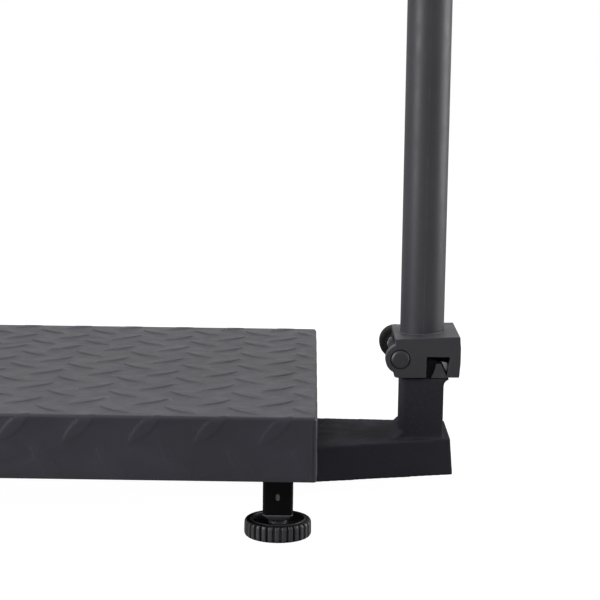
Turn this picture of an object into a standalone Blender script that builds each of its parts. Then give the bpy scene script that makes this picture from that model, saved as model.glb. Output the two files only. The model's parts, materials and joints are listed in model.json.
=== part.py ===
"""Folding platform scale for weighing animals.

A tread-plate pan sits on a load cell inside a low welded frame with four levelling
feet. A cast arm leaves the frame under the pan's right edge and ends in a post. The
column's hinge block turns on the post and is clamped by a hand knob, and the indicator
tilts in a bracket on top of the column.

Metres, +Z up, +X towards the column, the floor at Z = 0 under the model's centre.
"""

import math

import bmesh
import bpy
from mathutils import Matrix, Vector

# ---------------------------------------------------------------- driving dimensions
GAP = 0.0003  # between pieces that touch
ROUND = 24  # sides of a small round piece
FULL_TURN = 2 * math.pi

PAN_X = -0.062  # centre of the pan along X
PAN_LENGTH = 0.500
PAN_WIDTH = 0.400
PAN_TOP = 0.105
SKIRT = 0.052
SHEET = 0.002
PAN_BEND = 0.004

FOOT_REACH_X = 0.2195  # from the pan's centre to a leg's centre
FOOT_REACH_Y = 0.163
TUBE = 0.025  # square tube of the lower frame
TUBE_WALL = 0.0016
FRAME_LOW = 0.055
FRAME_TOP = FRAME_LOW + TUBE
RAIL_Y = 0.035

LEG_WIDTH = 0.0242
LEG_LOW = 0.0192
LEG_SLOT_Z = 0.0335
LEG_SLOT_HALF_LENGTH = 0.0026
LEG_SLOT_HALF_WIDTH = 0.0016
PLUG_INSERT = 0.0200  # the plug's height inside the leg
STUD_RADIUS = 0.005
BORE_RADIUS = STUD_RADIUS + GAP
STUD_TOP = 0.0430
COLLAR_LOW = 0.0137
COLLAR_TAPER = 0.0040
COLLAR_LOW_HALF = 0.0086
COLLAR_CUTS = (0.0038, 0.0030, 0.0012)  # off its corners, from its bottom to its top

WHEEL_RADIUS = 0.0267
WHEEL_RIBS = 30
RIB_DEPTH = 0.0011
WHEEL_LOW = 0.0008
WHEEL_TOP = 0.0132
WHEEL_ROUND = 0.0014
WHEEL_SHOULDERS = (0.0020, 0.0120)  # heights between which its rim is nearly straight
DISH_RADIUS = 0.0194
HUB_RADIUS = 0.0085
HUB_TOP = 0.0124
DISH_LOW = 0.0096
SOLE_RADIUS = 0.0200
SOLE_TOP = 0.0026

CELL_LENGTH = 0.130
CELL_WIDTH = 0.030
CELL_LOW = 0.058
CELL_TOP = 0.080
CELL_SCREW_PITCH = 0.020
CELL_SCREW_INSET = 0.0075
CELL_EYE_RADIUS = 0.007
CELL_EYE_SPREAD = 0.014
CELL_THREAD = 0.0125  # how deep its screws go
CELL_PLATE_LOW = 0.0497
CELL_PLATE_LENGTH = 0.048
CELL_PLATE_HALF = 0.050
CELL_SEAT_HALF = 0.014
M6_RADIUS = 0.003
M6_HEAD = 0.005  # its height and its radius
M8_RADIUS = 0.004
M8_HEAD = 0.0065
M8_BORE = M8_RADIUS + GAP

SPIDER_LOW = 0.084
SPIDER_SHEET = 0.004
SPIDER_HALF_LENGTH = 0.148
SPIDER_HALF_WIDTH = 0.030
SPACER_HALF = (0.0175, 0.014)
SPIDER_REACH_X = 0.130
SPIDER_REACH_Y = 0.150
PAD_RADIUS = 0.012
PAD_HEIGHT = 0.0024

ARM_START = 0.104
ARM_BEND_X = 0.190  # where the arm starts to narrow and rise
ARM_END_LOW_X = 0.3088
ARM_END_TOP_X = 0.3060
ARM_HALF_WIDTH = 0.056
ARM_END_HALF_WIDTH = 0.035
ARM_LOW = 0.0142
ARM_TOP = 0.0458
ARM_END_LOW = 0.0170
ARM_END_TOP = 0.0500
ARM_BOLT_Y = 0.030
ARM_WALL = 0.008
ARM_POCKETS = ((0.112, 0.182), (0.192, 0.256))
POCKET_TOP = 0.036
ARM_SEAT = (0.118, 0.184, 0.048)  # start, end and half width of the part under the beam
ARM_BOLT_TIP = 0.0640

POST_LEFT = 0.2646
POST_RIGHT = 0.2992
POST_BULGE = 0.0030  # of its left face
POST_HALF_DEPTH = 0.035
SHOULDER_RIGHT = 0.3052
SHOULDER_Z = 0.1032
SHOULDER_FILLET = 0.006
SHOULDER_LIP = 0.0006

PIVOT = Vector((0.2605, 0.0, 0.1205))
BOSS_RADIUS = 0.0130  # of the front cheek
BOSS_FOOT = 0.0050  # how far its foot reaches left of the bolt
BODY_RADIUS = 0.0074  # of the rest of the block round the bolt
TONGUE_RADIUS = 0.0072
TONGUE_RIGHT = 0.3035
TONGUE_SLOPE = (0.0355, -0.0035)  # top of its right flank, from the pivot
TONGUE_HALF = 0.0275
CHEEK_INNER = 0.028
CHEEK_OUTER = 0.038
BLOCK_LOW = 0.1040
BLOCK_RIGHT = 0.3132
BLOCK_BULGE = (0.1180, 0.1300)  # heights between which its right face is straight
BLOCK_TOP_LEFT = (0.2562, 0.1384)
BLOCK_TOP_RIGHT = (0.3123, 0.1412)
CAVITY_RIGHT = 0.3050
CAVITY_TOP = (0.1230, 0.1344)  # over the tongue's flank and over the bolt
CAVITY_SLOPE = (0.2905, 0.2705)  # where its roof rises from the one to the other
NOTCH_LEFT = 0.2833
NOTCH_RIGHT = 0.3041
NOTCH_TOP = 0.1228
NOTCH_DRAFT = 0.0030
BOLT_HEAD_RADIUS = 0.0079
BOLT_HEAD_PROUD = 0.0018
BOLT_SINK = 0.0022
BOLT_END = 0.0560
EDGE = 0.0010
WASHER_RADIUS = 0.0078
WASHER_SHEET = 0.0015

COLUMN_X = 0.2813
COLUMN_RADIUS = 0.0195
COLUMN_WALL = 0.0015
COLUMN_FOOT = 0.1373
COLUMN_TOP = 0.7100
PLUG_DEPTH = 0.020
PLUG_THREAD = 0.014

KNOB_RADIUS = 0.0150
KNOB_FRONT = 0.0455
KNOB_BACK = 0.0600
KNOB_HUB_RADIUS = 0.0082
KNOB_BORE = 0.0068
KNOB_ROUND = 0.0022

TILT = math.radians(15)
HEAD_PIVOT = Vector((0.2650, 0.0, 0.7950))
HEAD_WIDTH = 0.204
HEAD_HEIGHT = 0.124
HEAD_FRONT = -0.026
HEAD_BACK = 0.030
HEAD_PARTING = -0.008
HEAD_WALL = 0.0025
HEAD_ROUND = 0.006
WINDOW_SIZE = (0.120, 0.044)
WINDOW_Z = 0.022
WINDOW_SHEET = 0.0018
PANEL_SIZE = (0.112, 0.038)
PANEL_SHEET = 0.0032
BOARD_SIZE = (0.180, 0.104)
BOARD_SPAN = (-0.0120, -0.0104)
BATTERY_SIZE = (0.100, 0.060)
BATTERY_Z = -0.020
BATTERY_SPAN = (0.002, 0.024)
KEY_SIZE = (0.024, 0.014)
KEY_PITCH = 0.042
KEY_Z = -0.034
KEY_COUNT = 4
KEY_PROUD = 0.0012
KEY_FLANGE = 0.0015
KEY_STEM = 0.008
KEY_STEM_END = -0.0136
TILT_KNOB_RADIUS = 0.0120
TILT_KNOB_LOBES = 8
TILT_KNOB_LOBE = 0.0010
TILT_KNOB_LENGTH = 0.011
TILT_SCREW_END = 0.092
THROUGH = 0.2  # longer than any hole
BRACKET_INNER = 0.1043
BRACKET_SHEET = 0.003
BRACKET_LOW = 0.7133
BRACKET_ROUND = 0.013

CORNERS = {
    "front_left": (-1, -1),
    "front_right": (1, -1),
    "rear_left": (-1, 1),
    "rear_right": (1, 1),
}

# Finish: colour, roughness, metallic
FINISHES = {
    "tread_plate": ((0.050, 0.050, 0.056), 0.48, 0.0),
    "powder_coat": ((0.026, 0.026, 0.030), 0.45, 0.0),
    "cast_coat": ((0.028, 0.028, 0.032), 0.42, 0.0),
    "column_coat": ((0.045, 0.045, 0.050), 0.35, 0.0),
    "black_steel": ((0.030, 0.030, 0.033), 0.40, 0.0),
    "black_plastic": ((0.008, 0.008, 0.009), 0.40, 0.0),
    "housing": ((0.030, 0.030, 0.034), 0.50, 0.0),
    "rubber": ((0.012, 0.012, 0.012), 0.80, 0.0),
    "zinc_steel": ((0.550, 0.550, 0.560), 0.35, 1.0),
    "aluminium": ((0.620, 0.620, 0.630), 0.40, 1.0),
    "brass": ((0.650, 0.480, 0.220), 0.35, 1.0),
    "window": ((0.010, 0.012, 0.014), 0.08, 0.0),
    "display": ((0.160, 0.180, 0.140), 0.30, 0.0),
    "circuit": ((0.010, 0.080, 0.040), 0.50, 0.0),
    "battery": ((0.050, 0.052, 0.060), 0.45, 0.0),
    "key_grey": ((0.220, 0.225, 0.235), 0.55, 0.0),
}


# ---------------------------------------------------------------------- scene helpers
def clear_scene():
    for old in list(bpy.data.objects):
        bpy.data.objects.remove(old, do_unlink=True)


def finish_of(name):
    """The Principled material of this name, made the first time it is asked for."""
    made = bpy.data.materials.get(name)
    if made:
        return made
    colour, roughness, metallic = FINISHES[name]
    made = bpy.data.materials.new(name)
    made.use_nodes = True
    shader = made.node_tree.nodes["Principled BSDF"]
    shader.inputs["Base Color"].default_value = (*colour, 1.0)
    shader.inputs["Roughness"].default_value = roughness
    shader.inputs["Metallic"].default_value = metallic
    return made


def place(name, shape, finish, origin=(0, 0, 0), parent=None, base=(0, 0, 0)):
    """Makes an object of a bmesh. The shape and its origin are measured from base, where
    the parent stands."""
    bmesh.ops.recalc_face_normals(shape, faces=shape.faces)
    mesh = bpy.data.meshes.new(name)
    shape.to_mesh(mesh)
    shape.free()
    mesh.transform(Matrix.Translation(-Vector(origin)))
    mesh.materials.append(finish_of(finish))
    mesh.shade_smooth()
    mesh.set_sharp_from_angle(angle=math.radians(35))
    made = bpy.data.objects.new(name, mesh)
    made.location = Vector(origin) - Vector(base)
    made.parent = parent
    bpy.context.scene.collection.objects.link(made)
    return made


def axis_empty(name, location, parent=None):
    made = bpy.data.objects.new(name, None)
    made.empty_display_size = 0.03
    made.location = location
    made.parent = parent
    bpy.context.scene.collection.objects.link(made)
    return made


def combine(target, operation, other):
    """Adds a Boolean of a helper object, which stays out of the model itself."""
    other.hide_render = True
    other.display_type = "WIRE"
    other.parent = target.parent
    modifier = target.modifiers.new(f"{operation.lower()}_{other.name}", "BOOLEAN")
    modifier.operation = operation
    modifier.object = other


def cut(target, shape, base=(0, 0, 0)):
    number = len(target.modifiers)
    helper = place(f"cutter_{number}_{target.name}", shape, "zinc_steel", base=base)
    combine(target, "DIFFERENCE", helper)


def join(target, shape, base=(0, 0, 0)):
    number = len(target.modifiers)
    helper = place(f"lump_{number}_{target.name}", shape, "zinc_steel", base=base)
    combine(target, "UNION", helper)


# ---------------------------------------------------------------------- basic shapes
def skin(rings, closed=False):
    """A solid through rings of points, capped at both ends or closed into a loop."""
    shape = bmesh.new()
    made = [[shape.verts.new(point) for point in ring] for ring in rings]
    pairs = list(zip(made, made[1:]))
    if closed:
        pairs.append((made[-1], made[0]))
    count = len(made[0])
    for near, far in pairs:
        for i in range(count):
            j = (i + 1) % count
            shape.faces.new((near[i], near[j], far[j], far[i]))
    if not closed:
        shape.faces.new(made[0])
        shape.faces.new(list(reversed(made[-1])))
    return shape


def box(low, high):
    (x0, y0, z0), (x1, y1, z1) = low, high
    floor = [(x0, y0), (x1, y0), (x1, y1), (x0, y1)]
    return skin([[(x, y, z) for x, y in floor] for z in (z0, z1)])


def open_box(low, high, axis, mouth, bend):
    """A box with rounded edges and no face where it meets the mouth plane."""
    shape = box(low, high)
    along = "XYZ".index(axis)
    edges = [e for e in shape.edges if any(abs(v.co[along] - mouth) > GAP for v in e.verts)]
    bmesh.ops.bevel(
        shape, geom=edges, offset=bend, segments=3, profile=0.5, affect="EDGES"
    )
    lid = [f for f in shape.faces if all(abs(v.co[along] - mouth) < GAP for v in f.verts)]
    bmesh.ops.delete(shape, geom=lid, context="FACES_ONLY")
    return shape


def to_axes(axis, u, v, w):
    """A point with u and v across the axis and w along it."""
    return {"X": (w, u, v), "Y": (u, w, v), "Z": (u, v, w)}[axis]


def prism(outline, axis, start, end):
    """The outline extruded along an axis, with its two coordinates in X, Y, Z order."""
    return skin([[to_axes(axis, u, v, w) for u, v in outline] for w in (start, end)])


def circle(centre, radius, count=ROUND, start=0.0, end=None):
    """Points round a circle, or along an arc from start to end in degrees."""
    u, v = centre
    if end is None:
        angles = [FULL_TURN * i / count for i in range(count)]
    else:
        step = math.radians(end - start) / (count - 1)
        angles = [math.radians(start) + step * i for i in range(count)]
    return [(u + radius * math.cos(a), v + radius * math.sin(a)) for a in angles]


def rod(axis, centre, radius, start, end, count=ROUND):
    return prism(circle(centre, radius, count), axis, start, end)


def turned(axis, centre, profile, count=ROUND, rib=None):
    """A solid turned from a profile of (radius, height). A profile with no radius of 0
    closes into a ring. rib gives a change of radius for a point of the profile."""
    rings = []
    for place_in_profile, (radius, height) in enumerate(profile):
        ring = []
        for i in range(count):
            reach = max(radius, 1e-5)
            if rib:
                reach += rib(place_in_profile, i)
            angle = FULL_TURN * i / count
            u = centre[0] + reach * math.cos(angle)
            v = centre[1] + reach * math.sin(angle)
            ring.append(to_axes(axis, u, v, height))
        rings.append(ring)
    closed = min(radius for radius, _ in profile) > 0
    shape = skin(rings, closed)
    bmesh.ops.remove_doubles(shape, verts=shape.verts, dist=1.5e-5)
    return shape


def square_tube(axis, centre, width, height, wall, start, end, capped=False):
    """A rectangular tube along an axis, open at its start, and open or capped at its end."""
    u, v = centre

    def frame(inset, w):
        a, b = width / 2 - inset, height / 2 - inset
        corners = [(u - a, v - b), (u + a, v - b), (u + a, v + b), (u - a, v + b)]
        return [to_axes(axis, p, q, w) for p, q in corners]

    roof = end - wall if capped else end
    rings = [frame(0, end), frame(0, start), frame(wall, start), frame(wall, roof)]
    return skin(rings, closed=not capped)


def cap_screw(centre, head_start, head_end, tip, head_radius, radius):
    """An upright screw: its head between two heights, and its shank on to the tip."""
    x, y = centre
    profile = [
        (0, head_end),
        (head_radius, head_end),
        (head_radius, head_start),
        (radius, head_start),
        (radius, tip),
        (0, tip),
    ]
    return turned("Z", (x, y), profile)


# --------------------------------------------------------------------- pan and frame
def make_pan():
    low = (PAN_X - PAN_LENGTH / 2, -PAN_WIDTH / 2, PAN_TOP - SKIRT)
    high = (PAN_X + PAN_LENGTH / 2, PAN_WIDTH / 2, PAN_TOP)
    shape = open_box(low, high, "Z", low[2], PAN_BEND)
    pan = place("pan", shape, "tread_plate", (PAN_X, 0, PAN_TOP))
    sheet = pan.modifiers.new("sheet", "SOLIDIFY")
    sheet.thickness = SHEET
    sheet.offset = -1


def leg_centre(corner):
    side_x, side_y = CORNERS[corner]
    return PAN_X + side_x * FOOT_REACH_X, side_y * FOOT_REACH_Y


def make_frame():
    height = (FRAME_LOW + FRAME_TOP) / 2
    beam_reach = FOOT_REACH_Y - TUBE / 2 - GAP
    for name, side in (("left", -1), ("right", 1)):
        x = PAN_X + side * FOOT_REACH_X
        tube = square_tube(
            "Y", (x, height), TUBE, TUBE, TUBE_WALL, -beam_reach, beam_reach
        )
        beam = place(f"frame_beam_{name}", tube, "powder_coat", (x, 0, height))
        if side > 0:
            for y in (-ARM_BOLT_Y, ARM_BOLT_Y):
                hole = rod("Z", (x, y), M8_BORE, FRAME_LOW - TUBE_WALL, height)
                cut(beam, hole)
    rail_reach = FOOT_REACH_X - TUBE / 2 - GAP
    for name, y in (("front", -RAIL_Y), ("rear", RAIL_Y)):
        start, end = PAN_X - rail_reach, PAN_X + rail_reach
        tube = square_tube("X", (y, height), TUBE, TUBE, TUBE_WALL, start, end)
        place(f"frame_rail_{name}", tube, "powder_coat", (PAN_X, y, height))


def make_leg(corner):
    x, y = leg_centre(corner)
    out = math.copysign(1, y)
    tube = square_tube(
        "Z", (x, y), LEG_WIDTH, LEG_WIDTH, TUBE_WALL, LEG_LOW, FRAME_TOP, capped=True
    )
    leg = place(f"leg_{corner}", tube, "powder_coat", (x, y, LEG_LOW))
    straight = LEG_SLOT_HALF_LENGTH - LEG_SLOT_HALF_WIDTH
    slot = circle((x, LEG_SLOT_Z + straight), LEG_SLOT_HALF_WIDTH, 7, 0, 180)
    slot += circle((x, LEG_SLOT_Z - straight), LEG_SLOT_HALF_WIDTH, 7, 180, 360)
    inside = y + out * (LEG_WIDTH / 2 - 2 * TUBE_WALL)
    outside = y + out * (LEG_WIDTH / 2 + TUBE_WALL)
    cut(leg, prism(slot, "Y", inside, outside))


def make_leg_plug(corner):
    """The threaded plug in the leg's lower end, with a collar under the tube."""
    x, y = leg_centre(corner)
    inner = LEG_WIDTH / 2 - TUBE_WALL - GAP
    collar = LEG_WIDTH / 2

    def octagon(half, corner_cut, z):
        a, b = half, half - corner_cut
        points = [(a, -b), (a, b), (b, a), (-b, a), (-a, b), (-a, -b), (-b, -a), (b, -a)]
        return [(x + u, y + v, z) for u, v in points]

    low_cut, middle_cut, top_cut = COLLAR_CUTS
    shape = skin(
        [
            octagon(COLLAR_LOW_HALF, low_cut, COLLAR_LOW),
            octagon(collar, middle_cut, COLLAR_LOW + COLLAR_TAPER),
            octagon(collar, top_cut, LEG_LOW - GAP),
            octagon(inner, EDGE, LEG_LOW - GAP),
            octagon(inner, EDGE, LEG_LOW + PLUG_INSERT),
        ]
    )
    plug = place(f"leg_plug_{corner}", shape, "black_plastic", (x, y, LEG_LOW))
    cut(plug, rod("Z", (x, y), BORE_RADIUS, 0, THROUGH))


def make_foot(corner):
    """A ribbed hand wheel moulded on its threaded stud, and the sole it turns on."""
    x, y = leg_centre(corner)
    profile = [
        (0, SOLE_TOP + GAP),
        (SOLE_RADIUS + 2 * GAP, SOLE_TOP + GAP),
        (SOLE_RADIUS + 2 * GAP, WHEEL_LOW),
        (WHEEL_RADIUS - WHEEL_ROUND, WHEEL_LOW),
        (WHEEL_RADIUS, WHEEL_SHOULDERS[0]),
        (WHEEL_RADIUS - 2 * GAP, WHEEL_SHOULDERS[1]),
        (WHEEL_RADIUS - WHEEL_ROUND, WHEEL_TOP),
        (DISH_RADIUS, WHEEL_TOP),
        (HUB_RADIUS, DISH_LOW),
        (HUB_RADIUS, HUB_TOP),
        (STUD_RADIUS, HUB_TOP),
        (STUD_RADIUS, STUD_TOP),
        (0, STUD_TOP),
    ]
    ribbed = range(3, 6)

    def rib(point, i):
        return -RIB_DEPTH * (i % 2) if point in ribbed else 0.0

    shape = turned("Z", (x, y), profile, 2 * WHEEL_RIBS, rib)
    axis = axis_empty(f"foot_axis_{corner}", (x, y, 0))
    place(f"foot_{corner}", shape, "black_plastic", (x, y, 0), axis, (x, y, 0))
    sole = rod("Z", (x, y), SOLE_RADIUS, 0, SOLE_TOP, 32)
    place(f"foot_sole_{corner}", sole, "rubber", (x, y, 0))


# --------------------------------------------------------------- load cell and spider
def cell_screws():
    """(name, x) of each screw in the load cell: two at its fixed end, two at its free end."""
    fixed = PAN_X - CELL_LENGTH / 2 + CELL_SCREW_INSET
    free = PAN_X + CELL_LENGTH / 2 - CELL_SCREW_INSET
    return {
        "fixed": (fixed, fixed + CELL_SCREW_PITCH),
        "free": (free - CELL_SCREW_PITCH, free),
    }


def make_load_cell():
    half = CELL_LENGTH / 2
    middle = (CELL_LOW + CELL_TOP) / 2
    body = box(
        (PAN_X - half, -CELL_WIDTH / 2, CELL_LOW), (PAN_X + half, CELL_WIDTH / 2, CELL_TOP)
    )
    cell = place("load_cell", body, "aluminium", (PAN_X, 0, middle))
    slot = circle((PAN_X + CELL_EYE_SPREAD, middle), CELL_EYE_RADIUS, 9, -140, 140)
    slot += circle((PAN_X - CELL_EYE_SPREAD, middle), CELL_EYE_RADIUS, 9, 40, 320)
    cut(cell, prism(slot, "Y", -CELL_WIDTH, CELL_WIDTH))
    screws = cell_screws()
    for x in screws["fixed"]:
        end = CELL_LOW + CELL_THREAD
        cut(cell, rod("Z", (x, 0), M6_RADIUS + GAP, CELL_LOW - EDGE, end, 12))
    for x in screws["free"]:
        end = CELL_TOP - CELL_THREAD
        cut(cell, rod("Z", (x, 0), M6_RADIUS + GAP, end, CELL_TOP + EDGE, 12))


def make_cell_plate():
    """The bridge under the two rails that carries the load cell's fixed end."""
    low, top, seat = CELL_PLATE_LOW, FRAME_LOW - GAP, CELL_LOW - GAP
    outline = [
        (-CELL_PLATE_HALF, low),
        (CELL_PLATE_HALF, low),
        (CELL_PLATE_HALF, top),
        (CELL_SEAT_HALF, top),
        (CELL_SEAT_HALF, seat),
        (-CELL_SEAT_HALF, seat),
        (-CELL_SEAT_HALF, top),
        (-CELL_PLATE_HALF, top),
    ]
    screws = cell_screws()["fixed"]
    middle = sum(screws) / 2
    start, end = middle - CELL_PLATE_LENGTH / 2, middle + CELL_PLATE_LENGTH / 2
    plate = place("load_cell_plate", prism(outline, "X", start, end), "powder_coat")
    for number, x in enumerate(screws, 1):
        cut(plate, rod("Z", (x, 0), M6_RADIUS + GAP, 0, THROUGH, 12))
        head, tip = low - GAP, CELL_LOW + CELL_THREAD - GAP
        screw = cap_screw((x, 0), head, head - M6_HEAD, tip, M6_HEAD, M6_RADIUS)
        place(f"cell_screw_fixed_{number}", screw, "zinc_steel", (x, 0, low))


def make_spider():
    """The upper carrier: spacer, plate, two cross bars and four rubber pads."""
    plate_top = SPIDER_LOW + SPIDER_SHEET
    screws = cell_screws()["free"]
    middle = sum(screws) / 2
    half_x, half_y = SPACER_HALF
    spacer = place(
        "load_cell_spacer",
        box(
            (middle - half_x, -half_y, CELL_TOP + GAP),
            (middle + half_x, half_y, SPIDER_LOW - GAP),
        ),
        "aluminium",
    )
    half_x, half_y = SPIDER_HALF_LENGTH, SPIDER_HALF_WIDTH
    plate = place(
        "spider_plate",
        box((PAN_X - half_x, -half_y, SPIDER_LOW), (PAN_X + half_x, half_y, plate_top)),
        "powder_coat",
    )
    for number, x in enumerate(screws, 1):
        for piece in (spacer, plate):
            cut(piece, rod("Z", (x, 0), M6_RADIUS + GAP, 0, THROUGH, 12))
        head, tip = plate_top + GAP, CELL_TOP - CELL_THREAD + GAP
        screw = cap_screw((x, 0), head, head + M6_HEAD, tip, M6_HEAD, M6_RADIUS)
        place(f"cell_screw_free_{number}", screw, "zinc_steel", (x, 0, plate_top))
    bar_low = plate_top + GAP
    bar_top = PAN_TOP - SHEET - PAD_HEIGHT - 2 * GAP
    for name, side in (("left", -1), ("right", 1)):
        x = PAN_X + side * SPIDER_REACH_X
        bar = square_tube(
            "Y",
            (x, (bar_low + bar_top) / 2),
            TUBE,
            bar_top - bar_low,
            TUBE_WALL,
            -SPIDER_REACH_Y,
            SPIDER_REACH_Y,
        )
        place(f"spider_bar_{name}", bar, "powder_coat", (x, 0, bar_low))
    for corner, (side_x, side_y) in CORNERS.items():
        x = PAN_X + side_x * SPIDER_REACH_X
        y = side_y * (SPIDER_REACH_Y - PAD_RADIUS)
        pad = rod("Z", (x, y), PAD_RADIUS, bar_top + GAP, bar_top + GAP + PAD_HEIGHT, 16)
        place(f"spider_pad_{corner}", pad, "rubber", (x, y, bar_top))


# ------------------------------------------------------------------- arm and the post
def arm_section(x_low, x_top, half_width, low, top):
    return [
        (x_low, -half_width, low),
        (x_low, half_width, low),
        (x_top, half_width, top),
        (x_top, -half_width, top),
    ]


def arm_half_width(x):
    """Half the arm's width where it narrows towards its end."""
    part = max(0.0, (x - ARM_BEND_X) / (ARM_END_LOW_X - ARM_BEND_X))
    return ARM_HALF_WIDTH + part * (ARM_END_HALF_WIDTH - ARM_HALF_WIDTH)


def arm_pocket(start, end):
    """One of the two pockets in the arm's underside."""
    near, far = [arm_half_width(x) - ARM_WALL for x in (start, end)]
    floor = [(start, -near), (end, -far), (end, far), (start, near)]
    return prism(floor, "Z", 0.0, POCKET_TOP)


def tongue_outline():
    """The part between the cheeks, round about the pivot, with a sloping right flank."""
    x, z = PIVOT.x, PIVOT.z
    root = SHOULDER_Z - SHOULDER_FILLET
    points = [(POST_RIGHT, root), (TONGUE_RIGHT, SHOULDER_Z)]
    points.append((x + TONGUE_SLOPE[0], z + TONGUE_SLOPE[1]))
    points += circle((x, z), TONGUE_RADIUS, 13, 60, 215)
    points.append((POST_LEFT, root))
    return points


def post_outline():
    """The post seen from the front, with a concave flare under its right shoulder."""
    centre = (POST_RIGHT + SHOULDER_FILLET, SHOULDER_Z - SHOULDER_LIP - SHOULDER_FILLET)
    points = [(POST_LEFT, POCKET_TOP), (POST_RIGHT, POCKET_TOP)]
    points += circle(centre, SHOULDER_FILLET, 6, 180, 90)[:-1]
    points.append((SHOULDER_RIGHT, SHOULDER_Z - SHOULDER_LIP))
    points += [(SHOULDER_RIGHT, SHOULDER_Z), (POST_LEFT, SHOULDER_Z)]
    return points


def bulge_outline():
    """The bowed left face of the post seen from above."""
    radius = (POST_HALF_DEPTH**2 + POST_BULGE**2) / (2 * POST_BULGE)
    centre = (POST_LEFT - POST_BULGE + radius, 0)
    half_angle = math.degrees(math.asin(POST_HALF_DEPTH / radius))
    points = circle(centre, radius, 13, 180 - half_angle, 180 + half_angle)
    inside = POST_LEFT + SHOULDER_FILLET
    return points + [(inside, -POST_HALF_DEPTH), (inside, POST_HALF_DEPTH)]


def make_arm():
    body = skin(
        [
            arm_section(ARM_START, ARM_START, ARM_HALF_WIDTH, ARM_LOW, ARM_TOP),
            arm_section(ARM_BEND_X, ARM_BEND_X, ARM_HALF_WIDTH, ARM_LOW, ARM_TOP),
            arm_section(
                ARM_END_LOW_X, ARM_END_TOP_X, ARM_END_HALF_WIDTH, ARM_END_LOW, ARM_END_TOP
            ),
        ]
    )
    arm = place("arm_casting", body, "cast_coat", (ARM_BEND_X, 0, ARM_LOW))
    start, end, half = ARM_SEAT
    join(arm, box((start, -half, POCKET_TOP), (end, half, FRAME_LOW - GAP)))
    join(arm, prism(post_outline(), "Y", -POST_HALF_DEPTH, POST_HALF_DEPTH))
    join(arm, prism(bulge_outline(), "Z", POCKET_TOP, SHOULDER_Z))
    join(arm, prism(tongue_outline(), "Y", -TONGUE_HALF, TONGUE_HALF))
    for start, end in ARM_POCKETS:
        cut(arm, arm_pocket(start, end))
    cut(arm, rod("Y", (PIVOT.x, PIVOT.z), M8_BORE, -THROUGH, THROUGH))
    x = PAN_X + FOOT_REACH_X
    for number, y in enumerate((-ARM_BOLT_Y, ARM_BOLT_Y), 1):
        cut(arm, rod("Z", (x, y), M8_BORE, 0, THROUGH))
        head = POCKET_TOP - GAP
        bolt = cap_screw((x, y), head, head - M8_HEAD, ARM_BOLT_TIP, M8_HEAD, M8_RADIUS)
        place(f"arm_bolt_{number}", bolt, "zinc_steel", (x, y, head))


# ------------------------------------------------------- column, its hinge and its knob
def block_outline():
    """The hinge block seen from the front: round the bolt on its left, with a sloping top
    and a slightly bowed right face."""
    x, z = PIVOT.x, PIVOT.z
    points = [(x, BLOCK_LOW), (BLOCK_RIGHT - EDGE, BLOCK_LOW + EDGE)]
    points += [(BLOCK_RIGHT, height) for height in BLOCK_BULGE]
    points += [BLOCK_TOP_RIGHT, BLOCK_TOP_LEFT]
    start = math.degrees(math.acos((BLOCK_TOP_LEFT[0] - x) / BODY_RADIUS))
    points += circle((x, z), BODY_RADIUS, 9, start, 240)
    return points


def boss_outline():
    """The front cheek's larger boss, with a foot at its lower left."""
    x, z = PIVOT.x, PIVOT.z
    points = circle((x, z), BOSS_RADIUS, 22, 60, 243)
    points += [(x - BOSS_FOOT, BLOCK_LOW + EDGE), (x - BOSS_FOOT + 2 * EDGE, BLOCK_LOW)]
    return points + [(x + BOSS_RADIUS, BLOCK_LOW)]


def cavity_outline():
    """The space for the tongue, open below and to the left."""
    left, low = PIVOT.x - CAVITY_RIGHT, PIVOT.z - CAVITY_RIGHT
    return [
        (left, low),
        (CAVITY_RIGHT, low),
        (CAVITY_RIGHT, CAVITY_TOP[0]),
        (CAVITY_SLOPE[0], CAVITY_TOP[0]),
        (CAVITY_SLOPE[1], CAVITY_TOP[1]),
        (left, CAVITY_TOP[1]),
    ]


def make_hinge_block(column):
    base = PIVOT
    outline = prism(block_outline(), "Y", -CHEEK_OUTER, CHEEK_OUTER)
    block = place("hinge_block", outline, "cast_coat", PIVOT, column, base)
    join(block, prism(boss_outline(), "Y", -CHEEK_OUTER, -CHEEK_INNER), base)
    cut(block, prism(cavity_outline(), "Y", -CHEEK_INNER, CHEEK_INNER), base)
    notch = [(NOTCH_LEFT, SHOULDER_Z), (NOTCH_RIGHT - NOTCH_DRAFT, SHOULDER_Z)]
    notch += [(NOTCH_RIGHT, NOTCH_TOP), (NOTCH_LEFT, NOTCH_TOP)]
    cut(block, prism(notch, "Y", -THROUGH, 0), base)
    cut(block, rod("Y", (PIVOT.x, PIVOT.z), M8_BORE, -THROUGH, THROUGH), base)
    sink, seat = BOLT_HEAD_RADIUS + 2 * GAP, -CHEEK_OUTER + BOLT_SINK
    cut(block, rod("Y", (PIVOT.x, PIVOT.z), sink, -THROUGH, seat), base)
    socket = COLUMN_RADIUS + GAP
    cut(block, rod("Z", (COLUMN_X, 0), socket, COLUMN_FOOT - GAP, THROUGH, 40), base)


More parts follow.
